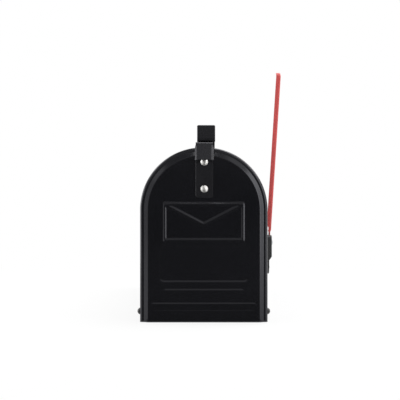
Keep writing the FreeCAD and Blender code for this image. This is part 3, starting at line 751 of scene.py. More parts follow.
def arch_piece(name, section, sizes, low, step, material, hem=0.0):
    """Piece of one sheet section run round the arch down to a height."""
    crown = sizes.crown_flat / 2
    radius = DOOR_HIGH.x - crown
    spring = DOOR_HIGH.z - radius
    fold_inset = float(max(point[0] for point in section)) + sizes.hem_room
    rise = (fold_inset - float(min(point[0] for point in section))) if hem else 0.0
    leg = spring - low - rise
    fold_length = 2 * sizes.sheet
    tail = []
    if hem:
        climb = hem - rise
        tail = [*np.linspace(0, fold_length, 9)[1:], fold_length + climb / 2, fold_length + climb]
    stations = arch_stations(radius, crown, leg, sizes.arch_step, step, tail)
    section_guide = mesh_object("section_guide", [(inset, depth, 0) for inset, depth in section])
    station_guide = mesh_object("station_guide", [(run, 0, 0) for run in stations])
    obj = mesh_object(name, [(0, 0, 0)])
    run_tree(obj, tree("Arch sheet", arch_tree), {
        "Section": section_guide, "Stations": station_guide, "Arch radius": radius, "Half crown": crown,
        "Spring height": spring, "Leg": leg, "Fold inset": fold_inset, "Fold length": fold_length,
        "Material": material,
    })
    settle(obj)
    discard(section_guide, station_guide)
    return close_shell(obj)


def press(obj, guide, element, reach, relief, direction, material):
    """Presses a relief along a guide into a finished sheet."""
    title = "Press along " + element.lower()
    run_tree(obj, tree(title, lambda: press_tree(title, element)), {
        "Guide": guide, "Reach": reach, "Relief": relief, "Direction": direction, "Material": material,
    })
    settle(obj)
    discard(guide)


def line_guide(lines, depth):
    """Guide of straight lines in the plane of the door, as pairs of (x, z) points."""
    points = [(x, depth, z) for line in lines for x, z in line]
    return mesh_object("line_guide", points, edges=[(2 * i, 2 * i + 1) for i in range(len(lines))])


def level_line(height, span):
    """Level line across the door, at a height over the skirts' edge."""
    return (-span / 2, GROUND + height), (span / 2, GROUND + height)


def make_door(sizes, props):
    """Pressed door: raised panel, bevel, ledge, rounded rim, flange and embossing."""
    material = finishes(props)["black_enamel"]
    reach = DOOR_HIGH.x
    ledge_y = PANEL_Y + sizes.bevel_rise
    ledge_inset = sizes.rim_radius + sizes.ledge_width
    profile = [
        (reach, PANEL_Y),
        (ledge_inset + sizes.bevel_width, PANEL_Y),
        (ledge_inset, ledge_y),
        (0, ledge_y),
        (0, DOOR_HIGH.y - EDGE_ROUND * sizes.sheet),
    ]
    bends = [sizes.press_radius, sizes.press_radius, sizes.rim_radius - sizes.sheet]
    radii = sheet_radii(profile, bends, sizes.sheet, -1)
    section = sheet_section(rounded_run(profile, radii, sizes.mesh_step), sizes.sheet, -1, False, 2)
    door = arch_piece("mailbox_door", section, sizes, DOOR_LOW.z, sizes.mesh_step, material)
    middle = PANEL_Y + sizes.sheet / 2
    side = sizes.envelope_width / 2
    low = GROUND + sizes.envelope_low
    high = GROUND + sizes.envelope_high
    corners = [(-side, low), (side, low), (side, high), (-side, high)]
    tip = (0, high - sizes.envelope_drop)
    envelope = list(zip(corners, corners[1:] + corners[:1])) + [(corners[3], tip), (tip, corners[2])]
    upper_rib = level_line(sizes.upper_rib, sizes.upper_rib_length)
    lower_rib = level_line(sizes.lower_rib, sizes.lower_rib_length)
    crease = level_line(sizes.crease, sizes.lower_rib_length)
    for lines, relief in (
        (envelope, sizes.envelope_relief),
        ([upper_rib, lower_rib], sizes.rib_relief),
        ([crease], sizes.crease_relief),
    ):
        press(door, line_guide(lines, middle), "EDGES", sizes.bead_reach, relief, (0, -1, 0), material)
    label = label_guide(sizes, middle)
    press(door, label, "FACES", 2 * sizes.label_slope, sizes.label_depth, (0, 1, 0), material)
    dress(close_shell(door), "door", "black_enamel", material, "door_panel")


def label_guide(sizes, depth):
    """Rounded rectangle at the bottom of the sunk label field."""
    side = sizes.label_width / 2 - sizes.label_slope
    low = GROUND + sizes.label_low + sizes.label_slope
    high = GROUND + sizes.label_high - sizes.label_slope
    corners = [(0, low), (side, low), (side, high), (-side, high), (-side, low), (0, low)]
    guide_step = 10 * MM
    run = rounded_run(corners, [sizes.label_corner] * 4, guide_step)[:-1]
    return mesh_object("label_guide", [(x, depth, z) for x, z in run], [tuple(range(len(run)))])


def make_wrap(sizes, props):
    """Wrap of roof and sides, hemmed along the skirts and cut away where the door's foot swings."""
    material = finishes(props)["black_enamel"]
    inset = DOOR_HIGH.x - WRAP_HIGH.x
    edge = EDGE_ROUND * sizes.sheet
    run = np.array([(inset, y) for y in np.linspace(WRAP_LOW.y + edge, WRAP_HIGH.y - edge, 40)])
    section = sheet_section(run, sizes.sheet, -1, True)
    wrap = arch_piece("mailbox_wrap", section, sizes, GROUND, sizes.side_step, material, sizes.hem)
    reach = WRAP_HIGH.x + TOOL_ROOM
    lug = HINGE_Y - WRAP_LOW.y
    swing = HINGE_Y + sizes.hinge_swing
    below, ahead = GROUND - TOOL_ROOM, WRAP_LOW.y - TOOL_ROOM
    outline = [(ahead, HINGE_Z), (WRAP_LOW.y, HINGE_Z)]
    for step in range(1, 13):
        turn = math.radians(180 + 90 * step / 12)
        outline.append((HINGE_Y + lug * math.cos(turn), HINGE_Z + lug * math.sin(turn)))
    outline += [(swing, HINGE_Z - lug), (swing, below), (ahead, below)]
    tools = [prism("notch_tool", outline, -reach, reach)]
    hole_z = GROUND + sizes.skirt_hole_height
    for y in (-sizes.skirt_hole_spacing / 2, sizes.skirt_hole_spacing / 2):
        tools.append(prism("hole_tool", circle(y, hole_z, sizes.skirt_hole_radius), -reach, reach))
    inner = WRAP_HIGH.x - sizes.sheet - sizes.hem_room / 2
    hem_rear = REAR_HIGH.y - sizes.rear_depth - sizes.seam_gap
    hem_top = GROUND + sizes.hem + TOOL_ROOM
    behind = rectangle(hem_rear, WRAP_HIGH.y + TOOL_ROOM, below, hem_top)
    tools.append(prism("hem_tool", behind, -inner, inner))
    cut_away(wrap, *tools)
    dress(close_shell(wrap), "box", "black_enamel", material, "body_shell")


def make_rear(sizes, props):
    """Pressed rear panel, its edge rolled round the end of the wrap."""
    material = finishes(props)["black_enamel"]
    shell_inset = DOOR_HIGH.x - WRAP_HIGH.x
    gap = sizes.seam_gap
    wall = shell_inset + sizes.sheet + gap + sizes.sheet
    seam = shell_inset - gap - sizes.sheet
    rear_y = REAR_HIGH.y
    face_y = rear_y - sizes.rear_depth + sizes.sheet
    field_y = face_y + sizes.rear_rise
    slope_end = sizes.rear_field + sizes.rear_slope
    profile = [
        (DOOR_HIGH.x, field_y),
        (slope_end, field_y),
        (sizes.rear_field, face_y),
        (wall, face_y),
        (wall, rear_y),
        (seam, rear_y),
        (seam, rear_y - sizes.seam_depth + EDGE_ROUND * sizes.sheet),
    ]
    bends = [sizes.press_radius, sizes.press_radius, sizes.rear_bend, gap, gap]
    radii = sheet_radii(profile, bends, sizes.sheet, 1)
    section = sheet_section(rounded_run(profile, radii, sizes.rear_step), sizes.sheet, 1, False)
    rear = arch_piece("mailbox_rear", section, sizes, REAR_LOW.z, sizes.side_step, material)
    dress(rear, "box", "black_enamel", material, "rear_panel")


def skin_piece(name, near, far):
    """Closed sheet between two skins, each given as rows of points."""
    rows, count = len(near), len(near[0])
    size = rows * count
    faces = []
    for i in range(rows - 1):
        for j in range(count - 1):
            a = i * count + j
            faces.append((a, a + 1, a + count + 1, a + count))
            faces.append((size + a, size + a + count, size + a + count + 1, size + a + 1))
    rim = list(range(count)) + [i * count + count - 1 for i in range(1, rows)]
    rim += [(rows - 1) * count + j for j in range(count - 2, -1, -1)]
    rim += [i * count for i in range(rows - 2, 0, -1)]
    for a, b in zip(rim, rim[1:] + rim[:1]):
        faces.append((a, size + a, size + b, b))
    points = [point for skin in (near, far) for row in skin for point in row]
    return close_shell(mesh_object(name, points, faces))


def strip_piece(name, run, thickness, columns):
    """Bent strip: a (y, z) run on its traced face, the strip to its left, and (x, lift) columns per row."""
    skins = []
    for depth in (0.0, thickness):
        skins.append([
            [(x, y + ny * (depth + lift), z + nz * (depth + lift)) for x, lift in row]
            for (y, z), (ny, nz), row in zip(run, left_sides(run), columns)
        ])
    return skin_piece(name, *skins)


def corner_trim(distance, radius):
    """How far a rounded corner pulls the side of a strip in, at a distance from the strip's end."""
    if distance >= radius:
        return 0.0
    return radius - math.sqrt(max(radius ** 2 - (radius - distance) ** 2, 0.0))


def run_lengths(run):
    """Distance along a dense line at each of its points."""
    return np.concatenate([[0], np.cumsum(np.linalg.norm(np.diff(run, axis=0), axis=1))])


def plain_columns(run, left, right, corner, count=13):
    """Columns of a strip with rounded corners at both ends."""
    along = run_lengths(run)
    rows = []
    for place in along:
        trim = corner_trim(min(place, along[-1] - place), corner)
        rows.append([(x, 0.0) for x in np.linspace(left + trim, right - trim, count)])
    return rows


def make_strap(sizes, props):
    """Door strap: flat on the panel, folded forward over the crown into a lipped finger pull."""
    material = finishes(props)["strip_enamel"]
    fold_y = PANEL_Y - sizes.pull_reach
    top = STRAP_HIGH.z
    drop = sizes.pull_drop / math.cos(sizes.pull_tilt)
    profile = [
        (PANEL_Y, STRAP_LOW.z),
        (PANEL_Y, top),
        (fold_y, top),
        (fold_y - math.sin(sizes.pull_tilt) * drop, top - math.cos(sizes.pull_tilt) * drop),
    ]
    bend = sizes.fold_radius + sizes.strip
    run = rounded_run(profile, [bend, bend], sizes.strip_step)
    along = run_lengths(run)
    middle = (STRAP_LOW.x + STRAP_HIGH.x) / 2
    half = sizes.strap_width / 2
    lip_start = along[-1] - drop + sizes.lip_start
    reach = sizes.pull_flat / 2 + sizes.pull_lip * math.cos(sizes.pull_lip_angle)
    depth = sizes.pull_lip * math.sin(sizes.pull_lip_angle)
    rows = []
    for place in along:
        trim = corner_trim(place, sizes.strap_corner) + corner_trim(along[-1] - place, sizes.pull_corner)
        grown = ease((place - lip_start) / sizes.lip_growth)
        flat = sizes.pull_flat / 2 - trim
        edge = half - trim + (reach - half) * grown
        row = [(x, 0.0) for x in np.linspace(-flat, flat, 11)]
        # Each lip curves up from the flat and runs straight towards its edge.
        for share in (0.22, 0.46, 0.7, 1.0):
            lift = depth * grown * 1.15 * share ** 2 / (share + 0.15)
            row.append((flat + (edge - flat) * share, lift))
            row.insert(0, (-flat - (edge - flat) * share, lift))
        rows.append([(middle + x, lift) for x, lift in row])
    strap = strip_piece("door_strap", run, sizes.strip, rows)
    ease_edges(strap, sizes.strap_edge)
    dress(strap, "door", "black_enamel", material, "door_pull_strap")


def make_catch(sizes, props):
    """Spring strip on the roof, with its step over the door and its upturned thumb tab."""
    material = finishes(props)["strip_enamel"]
    underside = STRAP_HIGH.z + sizes.catch_gap
    slope_y = DOOR_HIGH.y + sizes.catch_level
    profile = [
        (CATCH_LOW.y, CATCH_HIGH.z),
        (CATCH_LOW.y, underside),
        (slope_y, underside),
        (slope_y + sizes.catch_slope, WRAP_HIGH.z),
        (CATCH_HIGH.y, WRAP_HIGH.z),
    ]
    bends = [sizes.tab_bend, sizes.catch_bend, sizes.catch_bend]
    run = rounded_run(profile, sheet_radii(profile, bends, sizes.strip, 1), sizes.catch_step)
    columns = plain_columns(run, CATCH_LOW.x, CATCH_HIGH.x, sizes.catch_corner)
    catch = strip_piece("roof_spring_catch", run, sizes.strip, columns)
    ease_edges(catch, sizes.catch_edge)
    dress(catch, "box", "black_enamel", material, "roof_catch")


def flag_row(front, back, outer, share, sizes):
    """Both faces of the flag at one level, as (x, y) points from the turned edge's lip to the rear."""
    thick, broken = sizes.flag_sheet, sizes.flag_edge_break
    room = (back - front) / 4
    inner = sizes.flag_edge_bend
    bend = min(broken + (thick + inner - broken) * share, room)
    reach = thick + (sizes.flag_edge_width - thick) * share
    turns = np.linspace(0, math.pi / 2, 7)[1:]
    skin = [(outer - x, front) for x in np.linspace(reach, bend, 7)]
    skin += [(outer - bend + bend * math.sin(t), front + bend - bend * math.cos(t)) for t in turns]
    count = len(skin)
    plain = [(outer - thick, front + min(thick, room) * (k + 1) / (count + 1)) for k in range(count)]
    knee = (outer - thick - inner, front + thick + inner)
    turned = [(outer - x, front + thick) for x in np.linspace(sizes.flag_edge_width, thick + inner, 7)]
    turned += [(knee[0] + inner * math.sin(t), knee[1] - inner * math.cos(t)) for t in turns]
    under = [
        (px + (tx - px) * share, py + (ty - py) * share) for (px, py), (tx, ty) in zip(plain, turned)
    ]
    skin_start, under_start, end = front + bend, under[-1][1], back - broken
    for part in np.linspace(0, 1, 41)[1:]:
        skin.append((outer, skin_start + (end - skin_start) * part))
        under.append((outer - thick, under_start + (end - under_start) * part))
    for t in turns[1::2]:
        shift, run = broken * (1 - math.cos(t)), broken * (math.sin(t) - 1)
        skin.append((outer - shift, back + run))
        under.append((outer - thick + shift, back + run))
    return skin, under


def make_flag(sizes, props):
    """Signal flag: a round-ended shank that bends out into a broad blade with a rib and a turned edge."""
    material = finishes(props)["red_enamel"]
    shank, tip = sizes.flag_shank, sizes.flag_tip_radius
    foot, top = FLAG_LOW.z, FLAG_HIGH.z
    front, blade_back = FLAG_HIGH.y - sizes.flag_blade_width, FLAG_HIGH.y
    pivot = front + shank
    back = pivot + shank
    blade_low = GROUND + sizes.flag_blade_low
    bend = GROUND + sizes.flag_bend
    summit = (front + blade_back) / 2
    slope_low = blade_low - sizes.flag_taper
    fore = [(pivot, foot), (front, foot), (front, top), (summit, top)]
    aft = [(pivot, foot), (back, foot), (back, slope_low), (blade_back, blade_low)]
    aft += [(blade_back, top), (summit, top)]
    fore = rounded_run(fore, [shank, tip], sizes.flag_step)
    aft = rounded_run(aft, [shank, tip, tip, tip], sizes.flag_step)
    # Levels lie closer at both ends and along the slope into the blade.
    low_end = foot + 0.05 * MM
    levels = [low_end + (top - low_end) * share for share in np.linspace(0, 1, 190)]
    levels += [foot + 0.15 * MM, foot + 0.4 * MM, top - 0.12 * MM, top - 0.4 * MM]
    levels += list(np.linspace(slope_low - tip, blade_low + tip, 40))
    levels = np.unique(np.round(levels, 6))
    fore_y = np.interp(levels, fore[:, 1], fore[:, 0])
    aft_y = np.interp(levels, aft[:, 1], aft[:, 0])
    fore_y[-1], aft_y[-1] = front + tip, blade_back - tip
    base_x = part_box("flag_friction_washer")[1].x + sizes.flag_play
    slope = math.tan(sizes.flag_lean)
    edge_low = GROUND + sizes.flag_edge_low
    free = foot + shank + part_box("flag_bracket")[1].y - pivot + sizes.flag_play
    curl = sizes.flag_shank_curl / (sizes.flag_edge_width - sizes.flag_sheet)
    skins, unders = [], []
    for z, y0, y1 in zip(levels, fore_y, aft_y):
        clear = min(max((z - free) / sizes.flag_ease, 0.0), 1.0)
        roll = max((z - top + tip) / tip, 0.0) ** 2
        rise = min((z - edge_low) / sizes.flag_edge_taper, 1.0)
        share = max(curl * min(2 * clear, 1.0), rise * (1 - sizes.flag_edge_narrow * roll))
        outer = base_x + sizes.flag_sheet + slope * (z - bend) * ease(clear) - sizes.flag_tuck * roll
        skin, under = flag_row(y0, y1, outer, share, sizes)
        skins.append([(x, y, z) for x, y in skin])
        unders.append([(x, y, z) for x, y in under])
    flag = skin_piece("signal_flag", skins, unders)
    rib_low, rib_high = blade_low + sizes.flag_rib_margin, top - sizes.flag_rib_margin
    rib_x = base_x + sizes.flag_sheet / 2
    guide = mesh_object(
        "rib_guide",
        [(rib_x + slope * (z - bend), summit, z) for z in (rib_low, rib_high)],
        edges=[(0, 1)],
    )
    press(flag, guide, "EDGES", sizes.flag_rib_reach, sizes.flag_rib_relief, (1, 0, 0), material)
    dress(close_shell(flag, 50), "flag", "red_enamel", material, "flag_blade")


def lathe(profile, turns=48):
    """Turned part about z from (radius, height) points, closed at both ends."""
    angles = [2 * math.pi * k / turns for k in range(turns)]
    points = [(r * math.cos(angle), r * math.sin(angle), z) for r, z in profile for angle in angles]
    return close_shell(mesh_object("turned_part", points, ring_faces(len(profile), turns)))


def dome(radius, height, edge, steps=10):
    """Profile of a domed head from its crown to its seat, with a short upright edge."""
    rise = height - edge
    ball = (radius ** 2 + rise ** 2) / (2 * rise)
    reach = math.asin(min(radius / ball, 1.0))
    angles = [reach * step / steps for step in range(steps + 1)]
    curve = [(ball * math.sin(a), height - ball + ball * math.cos(a)) for a in angles]
    return curve + [(radius, edge * 0.25), (radius - edge * 0.25, 0.0)]


def rivet_template(row, grip):
    """Rivet with a domed head above its seat, and a set tail below the grip."""
    head, rise, shank, tail, drop = row
    profile = dome(head, rise, 0.3 * MM)
    profile += [(shank, 0.0), (shank, -grip), (tail - 0.15 * MM, -grip), (tail, -grip - 0.2 * MM)]
    profile += [(tail * 0.92, -grip - drop * 0.75), (tail * 0.6, -grip - drop), (0.0, -grip - drop)]
    return lathe(profile)


def screw_template(row, long):
    """Round-head screw with a cross recess and a fine thread near its point."""
    head, rise, shank = row
    root = shank * 0.88
    pitch = 0.5 * MM
    start = long * 0.35
    profile = dome(head, rise, 0.5 * MM, 14) + [(shank, 0.0)]
    for i in range(int((long - start - 0.4 * MM) / pitch)):
        top = -start - i * pitch
        profile += [(shank, top), (shank, top - 0.12 * MM), (root, top - 0.25 * MM), (root, top - 0.38 * MM)]
    profile += [(shank, -long + 0.35 * MM), (shank * 0.8, -long), (0.0, -long)]
    screw = lathe(profile, 64)
    wing, thick = head * 0.42, head * 0.1
    mouth = [(-wing, -thick), (wing, -thick), (wing, thick), (-wing, thick)]
    low = [(x * 0.35, y * 0.7, rise * 0.8) for x, y in mouth]
    high = [(x, y, rise + MM) for x, y in mouth]
    turned = [[(-y, x, z) for x, y, z in ring] for ring in (low, high)]
    cut_away(screw, tool("recess_tool", low, high), tool("recess_tool", *turned))
    return close_shell(screw, 28)


def washer_template(row):
    """Flat washer with broken edges."""
    inner, outer, thick = row
    e = thick * 0.18
    profile = [(inner, e), (inner + e, 0.0), (outer - e, 0.0), (outer, e), (outer, thick - e)]
    profile += [(outer - e, thick), (inner + e, thick), (inner, thick - e), (inner, e)]
    return lathe(profile)


def nut_template(row):
    """Hexagon nut with chamfered corners and a countersunk bore."""
    flats, bore, high = row
    sink = 0.3 * MM
    land = flats / 2 * 0.97
    turns = 60
    columns = []
    for k in range(turns):
        angle = 2 * math.pi * k / turns
        across = flats / 2 / math.cos((angle + math.pi / 6) % (math.pi / 3) - math.pi / 6)
        drop = (across - land) * math.tan(math.radians(30))
        column = [(bore, sink), (bore + sink, 0.0), (land, 0.0), (across, drop), (across, high - drop)]
        column += [(land, high), (bore + sink, high), (bore, high - sink), (bore, sink)]
        columns.append([(r * math.cos(angle), r * math.sin(angle), z) for r, z in column])
    points = [point for ring in zip(*columns) for point in ring]
    return close_shell(mesh_object("hexagon", points, ring_faces(len(columns[0]), turns)), 25)


def set_fasteners(name, template, seats, body, slot, props, node):
    """Sets a template on its seats, given as (place, axis), and hands the piece to the frame."""
    material = finishes(props)[slot]
    piece = mesh_object(name, [place for place, _ in seats])
    axes = piece.data.attributes.new("axis", "FLOAT_VECTOR", "POINT")
    for spot, (_, axis) in zip(axes.data, seats):
        spot.vector = axis
    run_tree(piece, tree("Fastener seats", seat_tree), {"Fastener": template, "Material": material})
    settle(piece)
    discard(template)
    dress(piece, body, slot, material, node)


def middle_of(node):
    """Centre of a solid's box."""
    low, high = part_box(node)
    return (low + high) / 2


def make_hinge(sizes, bolts, props):
    """Hinge rivets and the thin washers behind the door's flange."""
    rivet_x = HINGE_HIGH.x - bolts.hinge_rivet[1]
    grip = rivet_x - WRAP_HIGH.x + sizes.sheet + bolts.hinge_slack
    rivet = rivet_template(bolts.hinge_rivet, grip)
    washer = washer_template(bolts.hinge_washer)
    washer_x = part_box("hinge_washers")[1].x - bolts.hinge_washer[2]
    for name, template, x, slot, node in (
        ("hinge_pins", rivet, rivet_x, "dark_rivet", "hinge_rivets"),
        ("hinge_spacers", washer, washer_x, "nylon", "hinge_washers"),
    ):
        seats = [((side * x, HINGE_Y, HINGE_Z), (side, 0, 0)) for side in (-1, 1)]
        set_fasteners(name, template, seats, "box", slot, props, node)


def make_catch_rivets(sizes, bolts, props):
    """Two domed rivets through the catch and the roof."""
    low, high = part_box("catch_rivets")
    head, rise = bolts.catch_rivet[:2]
    rivet = rivet_template(bolts.catch_rivet, sizes.strip + sizes.sheet + bolts.catch_slack)
    x = (low.x + high.x) / 2
    seats = [((x, y, high.z - rise), (0, 0, 1)) for y in (low.y + head, high.y - head)]
    set_fasteners("catch_pins", rivet, seats, "box", "dark_rivet", props, "catch_rivets")


def make_strap_screws(sizes, bolts, props):
    """Round-head screws of the strap, with their washers and nuts inside the door."""
    low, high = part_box("strap_screws")
    head, rise, _ = bolts.strap_screw
    screw_y = low.y + rise
    washer_y = PANEL_Y + sizes.sheet
    nut_y = washer_y + bolts.strap_washer[2]
    screw = screw_template(bolts.strap_screw, high.y - screw_y)
    washer = washer_template(bolts.strap_washer)
    x = (low.x + high.x) / 2
    for name, template, y, way, slot, node in (
        ("strap_screw_pair", screw, screw_y, -1, "nickel", "strap_screws"),
        ("strap_washer_pair", washer, washer_y, 1, "zinc", "strap_washers"),
        ("strap_nut_pair", nut_template(bolts.nut), nut_y, 1, "zinc", "strap_nuts"),
    ):
        seats = [((x, y, z), (0, way, 0)) for z in (low.z + head, high.z - head)]
        set_fasteners(name, template, seats, "door", slot, props, node)


def make_pivot(sizes, bolts, props):
    """Flag pivot: screw, washer, nut, friction washer, and the rivet of the bracket's tail."""
    low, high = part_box("flag_pivot_screw")
    pivot, tail = middle_of("flag_pivot_screw"), middle_of("flag_bracket_rivet")
    screw_x = high.x - bolts.pivot_screw[1]
    washer_x = WRAP_HIGH.x - sizes.sheet
    nut_x = washer_x - bolts.pivot_washer[2]
    ring_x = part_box("flag_friction_washer")[0].x
    rivet_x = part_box("flag_bracket_rivet")[1].x - bolts.bracket_rivet[1]
    screw = screw_template(bolts.pivot_screw, screw_x - low.x)
    washer = washer_template(bolts.pivot_washer)
    ring = washer_template(bolts.friction_washer)
    rivet = rivet_template(bolts.bracket_rivet, rivet_x - washer_x)
    for name, template, place, x, way, slot, node in (
        ("flag_pivot_bolt", screw, pivot, screw_x, 1, "zinc", "flag_pivot_screw"),
        ("flag_pivot_disc", washer, pivot, washer_x, -1, "zinc", "flag_pivot_washer"),
        ("flag_pivot_hexagon", nut_template(bolts.nut), pivot, nut_x, -1, "zinc", "flag_pivot_nut"),
        ("flag_friction_disc", ring, pivot, ring_x, 1, "nylon", "flag_friction_washer"),
        ("flag_bracket_pin", rivet, tail, rivet_x, 1, "dark_rivet", "flag_bracket_rivet"),
    ):
        set_fasteners(name, template, [((x, place.y, place.z), (way, 0, 0))], "box", slot, props, node)


def coat_node(node, slot, props):
    """Gives a solid that stays as it is its finish."""
    mesh = frame["nodes"][node].data
    mesh.materials.clear()
    mesh.materials.append(finishes(props)[slot])


def aim(obj, target):
    """Turns a lamp towards a point."""
    way = Vector(target) - obj.location
    obj.rotation_euler = way.to_track_quat("-Z", "Y").to_euler()


def softbox(name, place, target, size, level):
    """Soft lamp of a brightness that white paper would have at 1."""
    lamp = bpy.data.lights.new(name, "AREA")
    lamp.shape = "RECTANGLE"
    lamp.size, lamp.size_y = size
    lamp.energy = level * math.pi * size[0] * size[1]
    obj = bpy.data.objects.new(name, lamp)
    bpy.context.scene.collection.objects.link(obj)
    obj.location = place
    aim(obj, target)


def card(name, corners, foot_level, head_level):
    """Studio card that only reflections see, its brightness rising from foot to head."""
    obj = mesh_object(name, corners, [(0, 1, 2, 3)])
    material, start, _ = new_material(name)
    place = start.node("ShaderNodeTexCoord", {}, {}, "Object")
    height = start.node("ShaderNodeSeparateXYZ", {}, {"Vector": place}, "Z")
    foot = min(corner[2] for corner in corners)
    rise = max(max(corner[2] for corner in corners) - foot, MM)
    share = ((height - foot) / rise).within(0, 1)
    glow = start.node("ShaderNodeEmission", {}, {
        "Color": share.blend(shade((1, 1, 1), foot_level), shade((1, 1, 1), head_level)), "Strength": 1.0,
    })
    start.feed(start.tree.nodes["Material Output"].inputs["Surface"], glow)
    obj.data.materials.append(material)
    obj.visible_camera = False
    obj.visible_diffuse = False
    obj.visible_shadow = False
    obj.visible_transmission = False


def seen_by_camera(start):
    """1 for rays from the camera, mirror rays and rays through glass, else 0."""
    parts = [
        start.node("ShaderNodeLightPath", {}, {}, name)
        for name in ("Is Camera Ray", "Is Glossy Ray", "Is Transmission Ray")
    ]
    return parts[0].most(parts[1]).most(parts[2])


def quad_across(foot, head):
    """Corners between two level edges across the view, each given as (left, right, y, z)."""
    left, right, y, z = foot
    head_left, head_right, head_y, head_z = head
    return [(left, y, z), (right, y, z), (head_right, head_y, head_z), (head_left, head_y, head_z)]


def quad_along(foot, head, front, rear):
    """Corners between two level edges along the view, each given as (x, z)."""
    (x, z), (head_x, head_z) = foot, head
    return [(x, front, z), (x, rear, z), (head_x, rear, head_z), (head_x, front, head_z)]


def make_surround(stage):
    """White surround that lights the box less than it shows."""
    world = bpy.data.worlds.new("studio")
    world.use_nodes = True
    bpy.context.scene.world = world
    start = Wire(world.node_tree)
    level = stage.ambient + (1 - stage.ambient) * seen_by_camera(start)
    background = world.node_tree.nodes["Background"]
    start.feed(background.inputs["Color"], (1, 1, 1, 1))
    start.feed(background.inputs["Strength"], level)


def make_ground():
    """Pale paper floor that keeps the box's shadow and fades to white further out."""
    reach = 6.0
    corners = quad_across((-reach, reach, -reach, GROUND), (-reach, reach, reach, GROUND))
    floor = mesh_object("studio_floor", corners, [(0, 1, 2, 3)])
    material, start, shader = new_material("floor_paper")
    place = start.node("ShaderNodeTexCoord", {}, {}, "Object")
    fibre = noise(place, 2 * MM, 3.0)
    surface(start, shader, {
        "Base Color": fibre.blend((0.88, 0.88, 0.88, 1), (0.92, 0.92, 0.92, 1)),
        "Roughness": 0.9, "Specular IOR Level": 0.1,
    })
    glow = start.node("ShaderNodeEmission", {}, {"Color": (1, 1, 1, 1), "Strength": 1.0})
    away = start.node("ShaderNodeVectorMath", {"operation": "LENGTH"}, {0: place}, "Value")
    fade = 0.86 + 0.14 * ((away - 0.35) / 0.5).smooth()
    paper = Wire(start.tree, shader.outputs[0])
    share = seen_by_camera(start) * fade
    mixed = start.node("ShaderNodeMixShader", {}, {0: share, 1: paper, 2: glow})
    start.feed(start.tree.nodes["Material Output"].inputs["Surface"], mixed)
    floor.data.materials.append(material)


def make_lamps(stage):
    """Soft lamps: one ahead on the right, three behind the door's plane."""
    heart = (0, PANEL_Y, stage.aim_height)
    rim_y = PANEL_Y + stage.rim_distance
    behind = (0, rim_y, stage.aim_height)
    softbox("key_softbox", (0.97, PANEL_Y - 0.64, 0.41), heart, (0.5, 1.08), stage.key_level)
    softbox("crown_softbox", (0.52, rim_y, 1.10), behind, (0.67, 1.4), stage.crown_level)
    softbox("left_softbox", (-0.80, rim_y, 0.88), behind, (0.67, 0.5), stage.left_level)
    softbox("left_strip", (-1.1, rim_y - 0.07, 0.25), behind, (0.94, 0.6), stage.strip_level)


def make_cards(stage):
    """Cards that door, strap and flag reflect, each with its brightness at foot and head."""
    far, near, side = PANEL_Y - stage.card_distance, PANEL_Y - 2 * MM, -0.5
    low = GROUND + 2 * MM
    cards = {
        "low_card": (quad_across((-1.5, 1.2, far, -0.1), (-1.5, 1.2, far, 0.2)), 0.12, 0.03),
        "front_card": (quad_across((-1.5, 1.2, far, 0.2), (-1.5, 1.2, far, 0.6)), 0.03, 0.6),
        "high_card": (quad_across((-1.5, 1.2, far, 0.6), (-1.5, 1.2, far, 1.0)), 0.6, 0.4),
        "scrim_low": (quad_across((-1.4, 0.45, far, 1.0), (-1.4, 0.45, -1.3, 1.45)), 0.4, 0.45),
        "scrim_high": (quad_across((-1.4, 0.45, -1.3, 1.45), (-1.2, 0.3, -0.75, 1.75)), 0.25, 0.25),
        "ceiling": (quad_across((-0.6, -0.12, -0.7, 1.3), (-0.6, -0.12, 0.3, 1.3)), 0.25, 0.25),
        "fold_card": (quad_across((-0.12, 0.12, -0.9, 1.3), (-0.12, 0.12, -0.25, 1.3)), 6.0, 6.0),
        "left_card": (quad_along((-1.5, -0.1), (-1.5, 1.0), far, side), 0.65, 0.65),
        "right_card": (quad_along((1.25, 1.0), (0.75, 1.44), far, side), 0.7, 1.0),
        "right_high": (quad_along((0.75, 1.44), (0.4, 1.75), far, side), 1.0, 0.1),
        "floor_card": (quad_across((-1.0, 0.9, far, low), (-0.085, 0.085, near, low)), 0.12, 0.12),
        "floor_bounce": (quad_across((0.95, 2.0, far, low), (0.25, 2.0, near, low)), 1.2, 1.2),
    }
    for name, (corners, foot_level, head_level) in cards.items():
        card(name, corners, foot_level, head_level)


def make_camera(stage):
    """Level camera straight ahead of the door."""
    camera = bpy.data.cameras.new("photo_camera")
    camera.lens = stage.lens
    camera.sensor_width = 36
    obj = bpy.data.objects.new("photo_camera", camera)
    bpy.context.scene.collection.objects.link(obj)
    obj.location = (stage.camera_side, PANEL_Y - stage.camera_distance, stage.camera_height)
    obj.rotation_euler = (math.pi / 2, 0, 0)
    bpy.context.scene.camera = obj


def make_stage(stage):
    """Surround, floor, lamps, cards and camera."""
    bpy.context.scene.view_settings.view_transform = "Standard"
    make_surround(stage)
    make_ground()
    make_lamps(stage)
    make_cards(stage)
    make_camera(stage)


class MAILBOX_OT_wrap(bpy.types.Operator):
    """Builds the wrap of roof and sides"""

    bl_idname = "mailbox.wrap"
    bl_label = "Wrap"

    def execute(self, context):
        make_wrap(context.scene.mailbox_sizes, context.scene.mailbox_finish)
        return {"FINISHED"}


class MAILBOX_OT_rear(bpy.types.Operator):
    """Builds the rear panel"""

    bl_idname = "mailbox.rear"
    bl_label = "Rear panel"

    def execute(self, context):
        make_rear(context.scene.mailbox_sizes, context.scene.mailbox_finish)
        return {"FINISHED"}


class MAILBOX_OT_floor(bpy.types.Operator):
    """Finishes the raised floor"""

    bl_idname = "mailbox.floor"
    bl_label = "Floor"

    def execute(self, context):
        coat_node("floor_panel", "black_enamel", context.scene.mailbox_finish)
        return {"FINISHED"}


